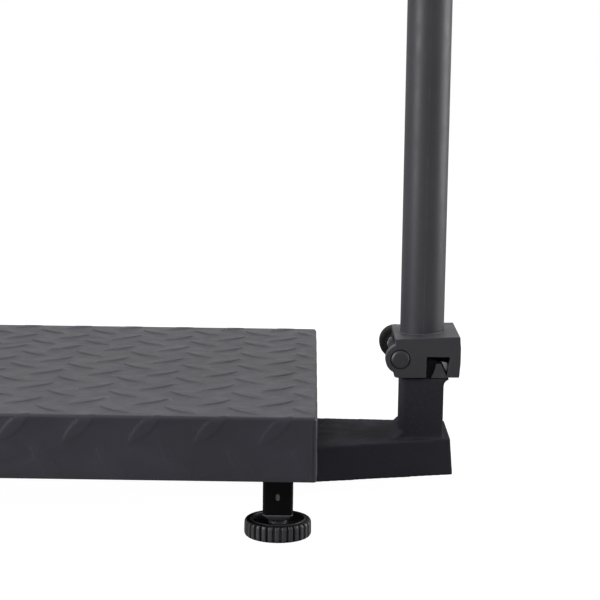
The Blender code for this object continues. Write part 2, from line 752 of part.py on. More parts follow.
def make_pivot_bolt(column):
    centre = (PIVOT.x, PIVOT.z)
    face, seat = -CHEEK_OUTER - BOLT_HEAD_PROUD, -CHEEK_OUTER + BOLT_SINK - GAP
    profile = [
        (0, face),
        (BOLT_HEAD_RADIUS - EDGE, face),
        (BOLT_HEAD_RADIUS, face + EDGE),
        (BOLT_HEAD_RADIUS, seat),
        (M8_RADIUS, seat),
        (M8_RADIUS, BOLT_END),
        (0, BOLT_END),
    ]
    bolt = turned("Y", centre, profile)
    place("pivot_bolt", bolt, "black_steel", PIVOT, column, PIVOT)
    start, end = CHEEK_OUTER + GAP, CHEEK_OUTER + GAP + WASHER_SHEET
    ring = [(radius, start) for radius in (M8_BORE, WASHER_RADIUS)]
    ring += [(radius, end) for radius in (WASHER_RADIUS, M8_BORE)]
    place("pivot_washer", turned("Y", centre, ring), "zinc_steel", PIVOT, column, PIVOT)


def make_clamp_knob(column):
    centre = (PIVOT.x, PIVOT.z)
    axis = axis_empty("knob_axis", (0, 0, 0), column)
    front = CHEEK_OUTER + WASHER_SHEET + 2 * GAP
    profile = [
        (KNOB_BORE, front),
        (KNOB_HUB_RADIUS - 2 * GAP, front),
        (KNOB_HUB_RADIUS, KNOB_FRONT),
        (KNOB_RADIUS - KNOB_ROUND, KNOB_FRONT),
        (KNOB_RADIUS, KNOB_FRONT + KNOB_ROUND),
        (KNOB_RADIUS, KNOB_BACK - KNOB_ROUND),
        (KNOB_RADIUS - KNOB_ROUND, KNOB_BACK),
        (KNOB_BORE, KNOB_BACK),
    ]
    knob = turned("Y", centre, profile, 36)
    place("clamp_knob", knob, "black_plastic", PIVOT, axis, PIVOT)
    outer = KNOB_BORE - GAP
    start, end = front, KNOB_BACK - EDGE
    ring = [(M8_BORE, start), (outer, start), (outer, end), (M8_BORE, end)]
    insert = turned("Y", centre, ring)
    place("clamp_knob_insert", insert, "brass", PIVOT, axis, PIVOT)


def make_column(column):
    inner = COLUMN_RADIUS - COLUMN_WALL
    ring = [(COLUMN_RADIUS, COLUMN_FOOT), (COLUMN_RADIUS, COLUMN_TOP)]
    ring += [(inner, COLUMN_TOP), (inner, COLUMN_FOOT)]
    tube = turned("Z", (COLUMN_X, 0), ring, 40)
    place("column_tube", tube, "column_coat", (COLUMN_X, 0, COLUMN_FOOT), column, PIVOT)
    plug = inner - GAP
    bore = M6_RADIUS + GAP
    flange_low, flange_top = COLUMN_TOP + GAP, BRACKET_LOW - GAP
    profile = [
        (0, COLUMN_TOP - PLUG_DEPTH),
        (plug, COLUMN_TOP - PLUG_DEPTH),
        (plug, flange_low),
        (COLUMN_RADIUS, flange_low),
        (COLUMN_RADIUS, flange_top),
        (bore, flange_top),
        (bore, COLUMN_TOP - PLUG_THREAD),
        (0, COLUMN_TOP - PLUG_THREAD),
    ]
    shape = turned("Z", (COLUMN_X, 0), profile, 32)
    place("column_plug", shape, "black_plastic", (COLUMN_X, 0, COLUMN_TOP), column, PIVOT)
    head, tip = BRACKET_LOW + BRACKET_SHEET + GAP, COLUMN_TOP - PLUG_THREAD + GAP
    screw = cap_screw((COLUMN_X, 0), head, head + M6_HEAD, tip, M6_HEAD, M6_RADIUS)
    place("bracket_screw", screw, "zinc_steel", (COLUMN_X, 0, head), column, PIVOT)


def make_bracket(column):
    x = HEAD_PIVOT.x
    outer = BRACKET_INNER + BRACKET_SHEET
    base = box(
        (x - BRACKET_ROUND, -outer, BRACKET_LOW),
        (COLUMN_X + COLUMN_RADIUS, outer, BRACKET_LOW + BRACKET_SHEET),
    )
    bracket = place("indicator_bracket", base, "powder_coat", PIVOT, column, PIVOT)
    arm = [(x - BRACKET_ROUND, BRACKET_LOW), (x + BRACKET_ROUND, BRACKET_LOW)]
    arm += circle((x, HEAD_PIVOT.z), BRACKET_ROUND, 11, 0, 180)
    for side in (-1, 1):
        start, end = side * BRACKET_INNER, side * outer
        join(bracket, prism(arm, "Y", start, end), PIVOT)
    pin = rod("Y", (x, HEAD_PIVOT.z), M6_RADIUS + GAP, -THROUGH, THROUGH)
    cut(bracket, pin, PIVOT)
    cut(bracket, rod("Z", (COLUMN_X, 0), M6_RADIUS + GAP, 0, HEAD_PIVOT.z), PIVOT)


# ---------------------------------------------------------------------- the indicator
def case_half(name, closed_x, open_x, head):
    """One half of the housing: a shell open at the parting plane."""
    half_y, half_z = HEAD_WIDTH / 2, HEAD_HEIGHT / 2
    low = (min(closed_x, open_x), -half_y, -half_z)
    high = (max(closed_x, open_x), half_y, half_z)
    shell = place(name, open_box(low, high, "X", open_x, HEAD_ROUND), "housing", parent=head)
    wall = shell.modifiers.new("wall", "SOLIDIFY")
    wall.thickness = HEAD_WALL
    wall.offset = -1
    return shell


def key_positions():
    first = -KEY_PITCH * (KEY_COUNT - 1) / 2
    return [first + KEY_PITCH * i for i in range(KEY_COUNT)]


def across(size, centre, x):
    """A rectangle facing the front of the housing, at x."""
    half_y, half_z = size[0] / 2, size[1] / 2
    y, z = centre
    return [
        (x, y - half_y, z - half_z),
        (x, y + half_y, z - half_z),
        (x, y + half_y, z + half_z),
        (x, y - half_y, z + half_z),
    ]


def slab(size, centre, start, end):
    return skin([across(size, centre, start), across(size, centre, end)])


def make_key(number, y, head):
    """A key cap, its flange behind the housing wall and the stem over its switch."""
    cap = (KEY_SIZE[0] - 2 * GAP, KEY_SIZE[1] - 2 * GAP)
    flange = (KEY_SIZE[0] + 2 * KEY_FLANGE, KEY_SIZE[1] + 2 * KEY_FLANGE)
    stem = (KEY_STEM, KEY_STEM)
    behind = HEAD_FRONT + HEAD_WALL + GAP
    centre = (y, KEY_Z)
    rings = [
        across(cap, centre, HEAD_FRONT - KEY_PROUD),
        across(cap, centre, behind),
        across(flange, centre, behind),
        across(flange, centre, behind + KEY_FLANGE),
        across(stem, centre, behind + KEY_FLANGE),
        across(stem, centre, KEY_STEM_END),
    ]
    place(f"key_{number}", skin(rings), "key_grey", (HEAD_FRONT, y, KEY_Z), head)


def make_tilt_knob(side, name, head):
    """A lobed knob and its screw, which clamps the bracket's arm to the housing."""
    outer = BRACKET_INNER + BRACKET_SHEET + GAP
    points = 6 * TILT_KNOB_LOBES
    outline = []
    for i in range(points):
        angle = FULL_TURN * i / points
        radius = TILT_KNOB_RADIUS + TILT_KNOB_LOBE * math.cos(TILT_KNOB_LOBES * angle)
        outline.append((radius * math.cos(angle), radius * math.sin(angle)))
    end = outer + TILT_KNOB_LENGTH
    grip = prism(outline, "Y", side * outer, side * end)
    knob = place(f"tilt_knob_{name}", grip, "black_plastic", parent=head)
    root = (outer + end) / 2
    join(knob, rod("Y", (0, 0), M6_RADIUS, side * TILT_SCREW_END, side * root))


def make_indicator(head):
    front = case_half("indicator_front_case", HEAD_FRONT, HEAD_PARTING - GAP / 2, head)
    rear = case_half("indicator_rear_case", HEAD_BACK, HEAD_PARTING + GAP / 2, head)
    wall_cut = (HEAD_FRONT - HEAD_WALL, HEAD_FRONT + 2 * HEAD_WALL)
    cut_all = [slab(WINDOW_SIZE, (0, WINDOW_Z), *wall_cut)]
    cut_all += [slab(KEY_SIZE, (y, KEY_Z), *wall_cut) for y in key_positions()]
    for shape in cut_all:
        cut(front, shape)
    cut(rear, rod("Y", (0, 0), M6_RADIUS + GAP, -THROUGH, THROUGH))

    glass = (WINDOW_SIZE[0] - 2 * GAP, WINDOW_SIZE[1] - 2 * GAP)
    start = HEAD_FRONT + GAP
    window = slab(glass, (0, WINDOW_Z), start, start + WINDOW_SHEET)
    place("display_window", window, "window", parent=head)
    start += WINDOW_SHEET + GAP
    panel = slab(PANEL_SIZE, (0, WINDOW_Z), start, start + PANEL_SHEET)
    place("display_panel", panel, "display", parent=head)
    board = slab(BOARD_SIZE, (0, 0), *BOARD_SPAN)
    place("circuit_board", board, "circuit", parent=head)
    battery = slab(BATTERY_SIZE, (0, BATTERY_Z), *BATTERY_SPAN)
    place("battery", battery, "battery", parent=head)
    for number, y in enumerate(key_positions(), 1):
        make_key(number, y, head)
    for side, name in ((-1, "front"), (1, "rear")):
        make_tilt_knob(side, name, head)


def main():
    clear_scene()
    make_pan()
    make_frame()
    for corner in CORNERS:
        make_leg(corner)
        make_leg_plug(corner)
        make_foot(corner)
    make_load_cell()
    make_cell_plate()
    make_spider()
    make_arm()

    column = axis_empty("column_axis", PIVOT)
    make_hinge_block(column)
    make_pivot_bolt(column)
    make_clamp_knob(column)
    make_column(column)
    make_bracket(column)
    head = axis_empty("head_axis", HEAD_PIVOT - PIVOT, column)
    head.rotation_euler.y = TILT
    make_indicator(head)


main()
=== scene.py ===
"""The looks of a folding platform scale for weighing animals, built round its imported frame.

Metres, +Z up, in the frame's own axes. The pan's plate, the castings, the column, the feet,
the tubes and the indicator are made here in place of their plain solids. The other nodes keep
their shape, with softened edges. Every surface has a procedural finish.
"""

import json
import math

import bmesh
import bpy
import numpy as np
from mathutils import Matrix, Vector


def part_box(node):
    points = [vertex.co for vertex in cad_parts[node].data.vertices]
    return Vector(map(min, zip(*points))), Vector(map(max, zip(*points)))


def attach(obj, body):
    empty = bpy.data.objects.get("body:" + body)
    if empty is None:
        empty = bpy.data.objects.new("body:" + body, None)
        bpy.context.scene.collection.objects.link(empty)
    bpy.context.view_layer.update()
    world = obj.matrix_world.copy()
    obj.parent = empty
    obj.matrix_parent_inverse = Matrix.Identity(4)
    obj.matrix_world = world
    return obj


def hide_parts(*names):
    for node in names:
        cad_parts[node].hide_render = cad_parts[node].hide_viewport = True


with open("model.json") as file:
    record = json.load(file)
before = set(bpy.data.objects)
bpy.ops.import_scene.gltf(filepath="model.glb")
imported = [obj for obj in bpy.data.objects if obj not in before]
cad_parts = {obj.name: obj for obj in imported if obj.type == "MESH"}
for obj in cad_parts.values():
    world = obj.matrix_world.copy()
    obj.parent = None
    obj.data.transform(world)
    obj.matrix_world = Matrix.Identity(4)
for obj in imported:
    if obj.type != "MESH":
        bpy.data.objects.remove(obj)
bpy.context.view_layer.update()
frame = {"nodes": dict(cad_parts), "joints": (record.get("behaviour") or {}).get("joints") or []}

FULL_TURN = 2 * math.pi
CORNERS = ("front_left", "front_right", "rear_left", "rear_right")
JOINTS = {joint["name"]: joint for joint in frame["joints"]}
PIVOT = Vector(JOINTS["column_fold"]["pos_m"])
PUSH = Vector(JOINTS["key_1_press"]["axis"])
HEAD_FRAME = (
    Matrix.Translation(Vector(JOINTS["indicator_tilt"]["pos_m"]))
    @ Matrix.Rotation(math.atan2(-PUSH.z, PUSH.x), 4, "Y")
)

WELD_REACH = 0.00001  # between points that are one

# Pan
PAN_SHEET = 0.002
PAN_BEND = 0.003
PAN_STEP = 0.00075  # between the points of its top
PAN_FINE_STEP = 0.00035  # the same beside the bends
PAN_FINE_REACH = 0.0035  # of the finer part
SKIRT_STEP = 0.0016
LUG_HALF_LENGTH = 0.0186
LUG_HALF_WIDTH = 0.0056
LUG_HEIGHT = 0.0013
LUG_SHOULDER = 11.0  # the higher, the steeper its sides
SKIRT_LUG_SHARE = 0.45  # of a lug's height on the top
LUG_PITCH = (0.0511, 0.0575)
LUG_ANGLE = math.radians(43)
FLATTENED_REACH = 0.010  # from a bend to where a lug has its whole height
FRONT_REACH = 0.005  # the same at the front bend
SEAM_DEPTH = 0.0007
SEAM_HALF_WIDTH = 0.0004
SEAM_START = 0.0006  # into the corner's curve

# Feet
WHEEL_RIBS = 30
RIB_DEPTH = 0.0026
RIB_SHARE = 0.74  # of the pitch, the rest is gap
WHEEL_PROUD = 0.0004  # of the ribs over the plain solid's
THREAD_PITCH = 0.0015
THREAD_DEPTH = 0.0006
RIB_POINTS = 16  # round the wheel, for each rib
STUD_RADIUS = 0.005
HUB_RADIUS = 0.0072
HUB_TOP = 0.0124
WHEEL_TOP = 0.0132
WHEEL_BOTTOM = 0.0002
THREAD_POINTS = 24
THREAD_STEPS = 12  # in each turn

# Legs, their plugs and the frame's welds
SLOT_HEIGHT = 0.0143  # above the leg's lower end
SLOT_HALF = (0.0021, 0.0033)
TAB_HALF = (0.0019, 0.0031)
PLUG_BORE = 0.0053
CLEARANCE = 0.0003
WELD_SIZE = 0.0016
WELD_STEP = 0.0006
WELD_RIPPLE = 0.0021
WELD_END = 0.002  # from the joint's end

# Tubes
TUBE_WALL = 0.0016
TUBE_CORNER = 0.0028

# Arm, hinge and column
ARM_VOXEL = 0.00115
BLOCK_VOXEL = 0.00055
POST_LEFT = 0.2622
POST_FOOT = 0.0484
POST_HALF_DEPTH = 0.0345
SHANK_RADIUS = 0.004
HEAD_LENGTH = 0.0037
KNOB_BORE = 0.0068
KNOB_HUB = 0.0082
KNURL_DEPTH = 0.0003
KNURLS = 60
COLUMN_WALL = 0.0015
COLUMN_POINTS = 128
WELD_BEAD = 0.0018
TONGUE_HALF = 0.0274
LUG_FRONT = 0.0352
LUG_SWING = 0.0318  # from the pivot, clear of the cheek's swing

# Indicator, in its own frame: X into it, Z up along its face
CASE_HALF = (0.102, 0.062)
CASE_CORNER = 0.012
CASE_WALL = 0.0025
CASE_FRONT = -0.026
CASE_BACK = 0.030
FRONT_MOUTH = -0.0083
BACK_MOUTH = -0.0078
WINDOW_CENTRE = (0, 0.022)
CASE_CUT = 0.005  # how far a cutter stands out
FIGURE_FACE = -0.0240
FIGURE_SIZE = 0.024
FIGURE_PITCH = 0.021
FIGURE_STROKE = 0.065  # half of it, as a share of the size
KEY_PLACES = [-0.063, -0.021, 0.021, 0.063]
KEY_Z = -0.034
KEY_FACE = -0.0272
KEY_FLANGE = -0.0232
MARK_LINE = 0.0003  # half the width of a key's marks
MARK_REACH = 0.0026
SCREW_PLACES = [(-0.088, 0.048), (0.088, 0.048), (-0.088, -0.048), (0.088, -0.048)]
TILT_KNOB_INNER = 0.1076
TILT_KNOB_OUTER = 0.1186

# Studio
FLOOR_SEEN = 0.985
FLOOR_MIRRORED = 0.30
CAMERA_LENS = 99.17
CAMERA_PLACE = (0.1804, -1.4526, 0.3953)
CAMERA_TURN = (81.0213, -0.7319, 0.4396)
OVERHEAD_COLOUR = (0.94, 0.95, 1.0)
STRIP_COLOUR = (0.96, 0.97, 1.0)

# Segments of a nought, from the top round: place across and up, upright or not
NOUGHT = [(0, 1, False), (0.5, 0.5, True), (0.5, -0.5, True)]
NOUGHT += [(0, -1, False), (-0.5, -0.5, True), (-0.5, 0.5, True)]


# ---- finishes
class Finish:
    """A Principled material with the nodes that drive it, in the object's own metres."""

    def __init__(self, name, metallic=0.0, specular=0.5):
        self.material = bpy.data.materials.new(name)
        self.material.use_nodes = True
        self.nodes = self.material.node_tree.nodes
        self.shader = self.nodes["Principled BSDF"]
        self.shader.inputs["Metallic"].default_value = metallic
        self.shader.inputs["Specular IOR Level"].default_value = specular
        self.place = self.nodes.new("ShaderNodeTexCoord").outputs["Object"]
        self.surface = self.nodes.new("ShaderNodeNewGeometry").outputs

    def link(self, source, target):
        self.material.node_tree.links.new(source, target)

    def drive(self, socket, source):
        self.link(source, self.shader.inputs[socket])

    def stretched(self, scale):
        """The place with each axis scaled, so that a pattern runs along one of them."""
        node = self.nodes.new("ShaderNodeMapping")
        node.inputs["Scale"].default_value = scale
        self.link(self.place, node.inputs["Vector"])
        return node.outputs["Vector"]

    def noise(self, scale, detail=2.0, rough=0.5, place=None):
        node = self.nodes.new("ShaderNodeTexNoise")
        node.inputs["Scale"].default_value = scale
        node.inputs["Detail"].default_value = detail
        node.inputs["Roughness"].default_value = rough
        self.link(place or self.place, node.inputs["Vector"])
        return node.outputs[0]

    def cells(self, scale):
        node = self.nodes.new("ShaderNodeTexVoronoi")
        node.inputs["Scale"].default_value = scale
        self.link(self.place, node.inputs["Vector"])
        return node.outputs["Distance"]

    def ramp(self, source, low, high, start, end):
        """Grey or colour going from low at start to high at end."""
        node = self.nodes.new("ShaderNodeValToRGB")
        for element, position, value in zip(
            node.color_ramp.elements, (start, end), (low, high)
        ):
            element.position = position
            element.color = (*value, 1.0) if isinstance(value, tuple) else (value, value, value, 1.0)
        self.link(source, node.inputs["Fac"])
        return node.outputs["Color"]

    def blend(self, factor, first, second):
        """first where factor is 0 and second where it is 1."""
        node = self.nodes.new("ShaderNodeMix")
        node.data_type = "RGBA"
        self.link(factor, node.inputs[0])
        for socket, value in ((node.inputs[6], first), (node.inputs[7], second)):
            if isinstance(value, tuple):
                socket.default_value = (*value, 1.0)
            else:
                self.link(value, socket)
        return node.outputs[2]

    def combine(self, operation, first, second):
        node = self.nodes.new("ShaderNodeMath")
        node.operation = operation
        for socket, value in zip(node.inputs, (first, second)):
            if isinstance(value, (int, float)):
                socket.default_value = value
            else:
                self.link(value, socket)
        return node.outputs[0]

    def facing_up(self):
        """0 on walls and undersides, 1 where the surface faces up."""
        split = self.nodes.new("ShaderNodeSeparateXYZ")
        self.link(self.surface["Normal"], split.inputs[0])
        return self.ramp(split.outputs["Z"], 0.0, 1.0, 0.55, 0.98)

    def edges(self, start=0.52, end=0.62):
        """0 on flat surfaces, 1 on sharp outer edges."""
        return self.ramp(self.surface["Pointiness"], 0.0, 1.0, start, end)

    def bump(self, *layers):
        """Stacks (height, depth in metres) layers into the shader's normal."""
        below = None
        for height, depth in layers:
            node = self.nodes.new("ShaderNodeBump")
            node.inputs["Strength"].default_value = 1.0
            node.inputs["Distance"].default_value = depth
            self.link(height, node.inputs["Height"])
            if below:
                self.link(below, node.inputs["Normal"])
            below = node.outputs["Normal"]
        self.drive("Normal", below)


PALE_DUST = (0.16, 0.16, 0.165)
# Painted shade: a colour darker than the casting's coat, laid on what faces up.
PAINTED_TOP_SHADE = (0.012, 0.011, 0.014)


def shaded(colour, factor):
    return tuple(channel * factor for channel in colour)


def coat(
    name, colour, rough, peel=0.00003, grain=0.00002, dust_and_shade=0.15, specular=0.5, dust_and_shade_colour=PALE_DUST
):
    """Powder coat: orange peel, fine grain, cloudy tone, brighter worn edges, and, in patches on
    what faces up, a share of a second colour: a pale dusting on most coats, and painted shade on the
    arm's casting, whose second colour is dark."""
    made = Finish(name, specular=specular)
    tone = made.ramp(made.noise(14, 3), shaded(colour, 0.90), shaded(colour, 1.10), 0.35, 0.65)
    speck = made.ramp(made.noise(1500, 1), 0.0, 1.0, 0.60, 0.80)
    specked = made.blend(speck, tone, shaded(colour, 1.7))
    worn = made.combine("MULTIPLY", made.edges(), made.ramp(made.noise(90, 3), 0.2, 1.0, 0.4, 0.7))
    edged = made.blend(made.combine("MULTIPLY", worn, 0.35), specked, shaded(colour, 2.6))
    # Patches on what faces up take a share of a second colour: a pale dusting, or painted shade
    # where that colour is darker than the coat.
    patches = made.ramp(made.noise(35, 4), 0.1, 1.0, 0.35, 0.75)
    lying = made.combine("MULTIPLY", made.facing_up(), patches)
    dusted_and_shaded = made.blend(made.combine("MULTIPLY", lying, dust_and_shade), edged, dust_and_shade_colour)
    made.drive("Base Color", dusted_and_shaded)
    made.drive("Roughness", made.ramp(made.noise(70, 3), rough - 0.05, rough + 0.06, 0.3, 0.7))
    made.bump((made.noise(520, 2), peel), (made.noise(1700, 2), grain))
    return made.material


def moulded(name, colour, rough, grain=0.00002, specular=0.4, lying=1.0):
    """Moulded plastic or rubber: spark-eroded grain, faint flow clouds, scuffed edges. lying is how
    much of the colour is left on surfaces that face up and in hollows; below 1 this paints shade on
    them."""
    made = Finish(name, specular=specular)
    tone = made.ramp(made.noise(40, 3), shaded(colour, 0.85), shaded(colour, 1.15), 0.3, 0.7)
    # Painted shade: what faces up and hollows, such as the gaps between the wheel's ribs, are
    # darkened to that share of the colour.
    if lying < 1:
        tone = made.blend(made.facing_up(), tone, shaded(colour, lying))
        hollow = made.ramp(made.surface["Pointiness"], 1.0, 0.0, 0.42, 0.49)
        tone = made.blend(hollow, tone, shaded(colour, lying))
    scuff = made.combine("MULTIPLY", made.edges(0.53, 0.66), made.noise(160, 3))
    scuffed = made.blend(made.combine("MULTIPLY", scuff, 0.5), tone, shaded(colour, 3.2))
    made.drive("Base Color", scuffed)
    made.drive("Roughness", made.ramp(made.noise(120, 2), rough - 0.06, rough + 0.08, 0.3, 0.7))
    made.bump((made.cells(1400), grain), (made.noise(260, 2), grain * 1.5))
    return made.material


def metal(name, colour, rough, grain_axis, depth=0.000008):
    """Bare or plated metal with fine lines along one axis and a slight stain."""
    made = Finish(name, metallic=1.0)
    scale = [1800.0, 1800.0, 1800.0]
    scale["XYZ".index(grain_axis)] = 60.0
    lines = made.noise(1.0, 3, 0.6, made.stretched(scale))
    stain = made.ramp(made.noise(110, 3), shaded(colour, 0.78), shaded(colour, 1.08), 0.3, 0.7)
    scored = made.blend(made.combine("MULTIPLY", lines, 0.35), stain, shaded(colour, 0.7))
    made.drive("Base Color", scored)
    made.drive("Roughness", made.ramp(lines, rough - 0.08, rough + 0.12, 0.3, 0.7))
    made.bump((lines, depth))
    return made.material


def window_finish():
    """Tinted clear plastic with faint wipe marks."""
    made = Finish("window")
    made.shader.inputs["Transmission Weight"].default_value = 1.0
    made.shader.inputs["IOR"].default_value = 1.49
    tint = made.ramp(made.noise(30, 2), (0.42, 0.45, 0.46), (0.48, 0.51, 0.52), 0.3, 0.7)
    made.drive("Base Color", tint)
    wiped = made.noise(1.0, 3, 0.6, made.stretched((300.0, 40.0, 300.0)))
    made.drive("Roughness", made.ramp(wiped, 0.02, 0.07, 0.4, 0.7))
    made.bump((made.noise(60, 1), 0.000004))
    return made.material


def circuit_finish():
    """Green solder mask with darker tracks under it."""
    made = Finish("circuit", specular=0.6)
    tracks = made.ramp(made.cells(260), 0.0, 1.0, 0.05, 0.12)
    made.drive("Base Color", made.blend(tracks, (0.02, 0.16, 0.07), (0.008, 0.07, 0.035)))
    made.drive("Roughness", made.ramp(made.noise(200, 2), 0.3, 0.45, 0.3, 0.7))
    made.bump((tracks, 0.00003))
    return made.material


FINISHES = {
    "tread_plate": coat("tread_plate", (0.026, 0.024, 0.033), 0.42, dust_and_shade=0.03),
    "powder_coat": coat("powder_coat", (0.0012, 0.0012, 0.0013), 0.50, dust_and_shade=0.02, specular=0.10),
    # The arm's casting: the dark colour on what faces up is painted shade on its top.
    "cast_coat": coat(
        "cast_coat", (0.034, 0.032, 0.040), 0.75, dust_and_shade=0.7, specular=0.10, dust_and_shade_colour=PAINTED_TOP_SHADE
    ),
    "block_coat": coat("block_coat", (0.033, 0.032, 0.038), 0.48, 0.00005, 0.00008, 0.30),
    "column_coat": coat("column_coat", (0.042, 0.041, 0.047), 0.46, 0.00003, 0.00004, 0.05),
    "black_steel": coat("black_steel", (0.026, 0.026, 0.031), 0.36, peel=0.00001),
    "black_plastic": moulded("black_plastic", (0.0035, 0.0035, 0.0037), 0.38, specular=0.35),
    # The feet's plastic: its black tops and rib gaps are painted shade.
    "foot_plastic": moulded("foot_plastic", (0.042, 0.042, 0.045), 0.42, specular=0.4, lying=0.1),
    "plug_plastic": moulded("plug_plastic", (0.11, 0.11, 0.115), 0.50),
    "knob_plastic": moulded("knob_plastic", (0.010, 0.010, 0.009), 0.72, 0.00035, 0.25),
    "rubber": moulded("rubber", (0.012, 0.012, 0.012), 0.78, 0.00004, 0.3),
    "housing": moulded("housing", (0.030, 0.030, 0.034), 0.50, 0.00004),
    "overlay": moulded("overlay", (0.012, 0.013, 0.018), 0.30, 0.00001),
    "key_grey": moulded("key_grey", (0.20, 0.205, 0.215), 0.55, 0.00002),
    "marking": moulded("marking", (0.60, 0.61, 0.62), 0.50, 0.00001),
    "battery": moulded("battery", (0.050, 0.052, 0.060), 0.40, 0.00002),
    "display": moulded("display", (0.23, 0.26, 0.20), 0.30, 0.000004),
    "segments": moulded("segments", (0.014, 0.016, 0.015), 0.40, 0.000004),
    "aluminium": metal("aluminium", (0.62, 0.62, 0.63), 0.36, "X"),
    "zinc_steel": metal("zinc_steel", (0.52, 0.52, 0.54), 0.34, "Z"),
    "brass": metal("brass", (0.65, 0.48, 0.22), 0.34, "Y"),
    "window": window_finish(),
    "circuit": circuit_finish(),
}
SLOT_OF = {"overlay": "housing", "marking": "key_grey", "segments": "display"}
SLOT_OF |= {"block_coat": "cast_coat", "knob_plastic": "black_plastic"}
SLOT_OF |= {"foot_plastic": "black_plastic", "plug_plastic": "black_plastic"}


# ---- mesh helpers
def to_axes(axis, u, v, w):
    """A point with u and v across the axis and w along it."""
    return {"X": (w, u, v), "Y": (u, w, v), "Z": (u, v, w)}[axis]


def around(centre, reach, angle):
    """The point at an angle and a distance from a centre."""
    return centre[0] + reach * math.cos(angle), centre[1] + reach * math.sin(angle)


def across(axis, outline, w):
    """The outline's points laid across an axis, at w along it."""
    return [to_axes(axis, u, v, w) for u, v in outline]


def fillet(points, radius, steps=4, closed=False):
    """The outline with its corners rounded. An open one keeps its two ends."""
    points = [Vector(point) for point in points]
    made = []
    for i, corner in enumerate(points):
        if not closed and i in (0, len(points) - 1):
            made.append(corner)
            continue
        before, after = points[i - 1], points[(i + 1) % len(points)]
        sides = []
        for other in (before, after):
            away = other - corner
            sides.append(corner + away.normalized() * min(radius, away.length * 0.45))
        for step in range(steps + 1):
            t = step / steps
            made.append(sides[0] * (1 - t) ** 2 + corner * 2 * t * (1 - t) + sides[1] * t * t)
    return [tuple(point) for point in made]


def bridge(shape, near, far):
    """Faces between two rings, either of which may be a single point."""
    count = max(len(near), len(far))
    for i in range(count):
        j = (i + 1) % count
        corners = [near[i % len(near)], near[j % len(near)], far[j % len(far)], far[i % len(far)]]
        shape.faces.new([v for n, v in enumerate(corners) if v not in corners[:n]])


def skin(rings, closed=False, capped=True):
    """A surface through rings of points, capped at its ends or closed into a loop."""
    shape = bmesh.new()
    made = [[shape.verts.new(point) for point in ring] for ring in rings]
    for near, far in zip(made, made[1:]):
        bridge(shape, near, far)
    if closed:
        bridge(shape, made[-1], made[0])
    elif capped:
        for ring in (made[0], made[-1]):
            if len(ring) > 2:
                shape.faces.new(ring)
    return shape


def lathe(axis, centre, profile, count=64, ripple=None):
    """A solid turned from a profile of (radius, height). A profile that starts off the axis
    closes into a ring. ripple adds to the radius at a radius, height and angle."""
    rings = []
    for radius, height in profile:
        if radius < 1e-6:
            rings.append([to_axes(axis, *centre, height)])
            continue
        ring = []
        for i in range(count):
            angle = FULL_TURN * i / count
            reach = radius + (ripple(radius, height, angle) if ripple else 0.0)
            ring.append(to_axes(axis, *around(centre, reach, angle), height))
        rings.append(ring)
    return skin(rings, closed=profile[0][0] > 1e-6, capped=False)


def prism(outline, axis, start, end, edge=0.0):
    """The outline extruded along an axis, with a small chamfer at both ends."""
    middle = [sum(c) / len(outline) for c in zip(*outline)]
    sign = 1 if end > start else -1

    def ring(w, shrink):
        moved = []
        for u, v in outline:
            du, dv = u - middle[0], v - middle[1]
            length = math.hypot(du, dv)
            part = 1 - shrink / length
            moved.append(to_axes(axis, middle[0] + du * part, middle[1] + dv * part, w))
        return moved

    if not edge:
        return skin([ring(start, 0), ring(end, 0)])
    step = sign * edge
    return skin([ring(start, edge), ring(start + step, 0), ring(end - step, 0), ring(end, edge)])


def rounded_rectangle(half_u, half_v, radius, steps=6, centre=(0, 0)):
    """Points round a rectangle with round corners."""
    points = []
    for quarter, (side_u, side_v) in enumerate(((1, 1), (-1, 1), (-1, -1), (1, -1))):
        for step in range(steps + 1):
            corner = (centre[0] + side_u * (half_u - radius), centre[1] + side_v * (half_v - radius))
            points.append(around(corner, radius, math.pi / 2 * (quarter + step / steps)))
    return points


def finish_mesh(mesh, material, sharp):
    mesh.materials.clear()
    mesh.materials.append(material)
    mesh.shade_smooth()
    mesh.set_sharp_from_angle(angle=math.radians(sharp))


def to_mesh(name, shape, place=None):
    """The bmesh as a mesh with its faces outwards, moved to its place."""
    bmesh.ops.recalc_face_normals(shape, faces=shape.faces)
    mesh = bpy.data.meshes.new(name)
    shape.to_mesh(mesh)
    shape.free()
    if place:
        mesh.transform(place)
    return mesh


def stand(name, data):
    """A new object in the scene."""
    made = bpy.data.objects.new(name, data)
    bpy.context.scene.collection.objects.link(made)
    return made


def piece(name, shape, finish, body, replaces=(), place=None, sharp=40):
    """Makes a piece of a bmesh, and lets it ride on a body."""
    mesh = to_mesh(name, shape, place)
    finish_mesh(mesh, FINISHES[finish], sharp)
    made = stand(name, mesh)
    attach(made, body)
    if replaces:
        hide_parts(*replaces)
    return made


def settle(made, sharp=40):
    """Applies the piece's modifiers."""
    material = made.data.materials[0]
    mesh = bpy.data.meshes.new_from_object(
        made.evaluated_get(bpy.context.evaluated_depsgraph_get())
    )
    made.modifiers.clear()
    made.data = mesh
    finish_mesh(mesh, material, sharp)


def cut(made, shapes, place=None):
    """Cuts bmeshes out of a piece."""
    helpers = []
    for number, shape in enumerate(shapes):
        name = f"cutter_{number}"
        helpers.append(stand(name, to_mesh(name, shape, place)))
        modifier = made.modifiers.new(name, "BOOLEAN")
        modifier.operation = "DIFFERENCE"
        modifier.object = helpers[-1]
    settle(made)
    for helper in helpers:
        bpy.data.objects.remove(helper, do_unlink=True)


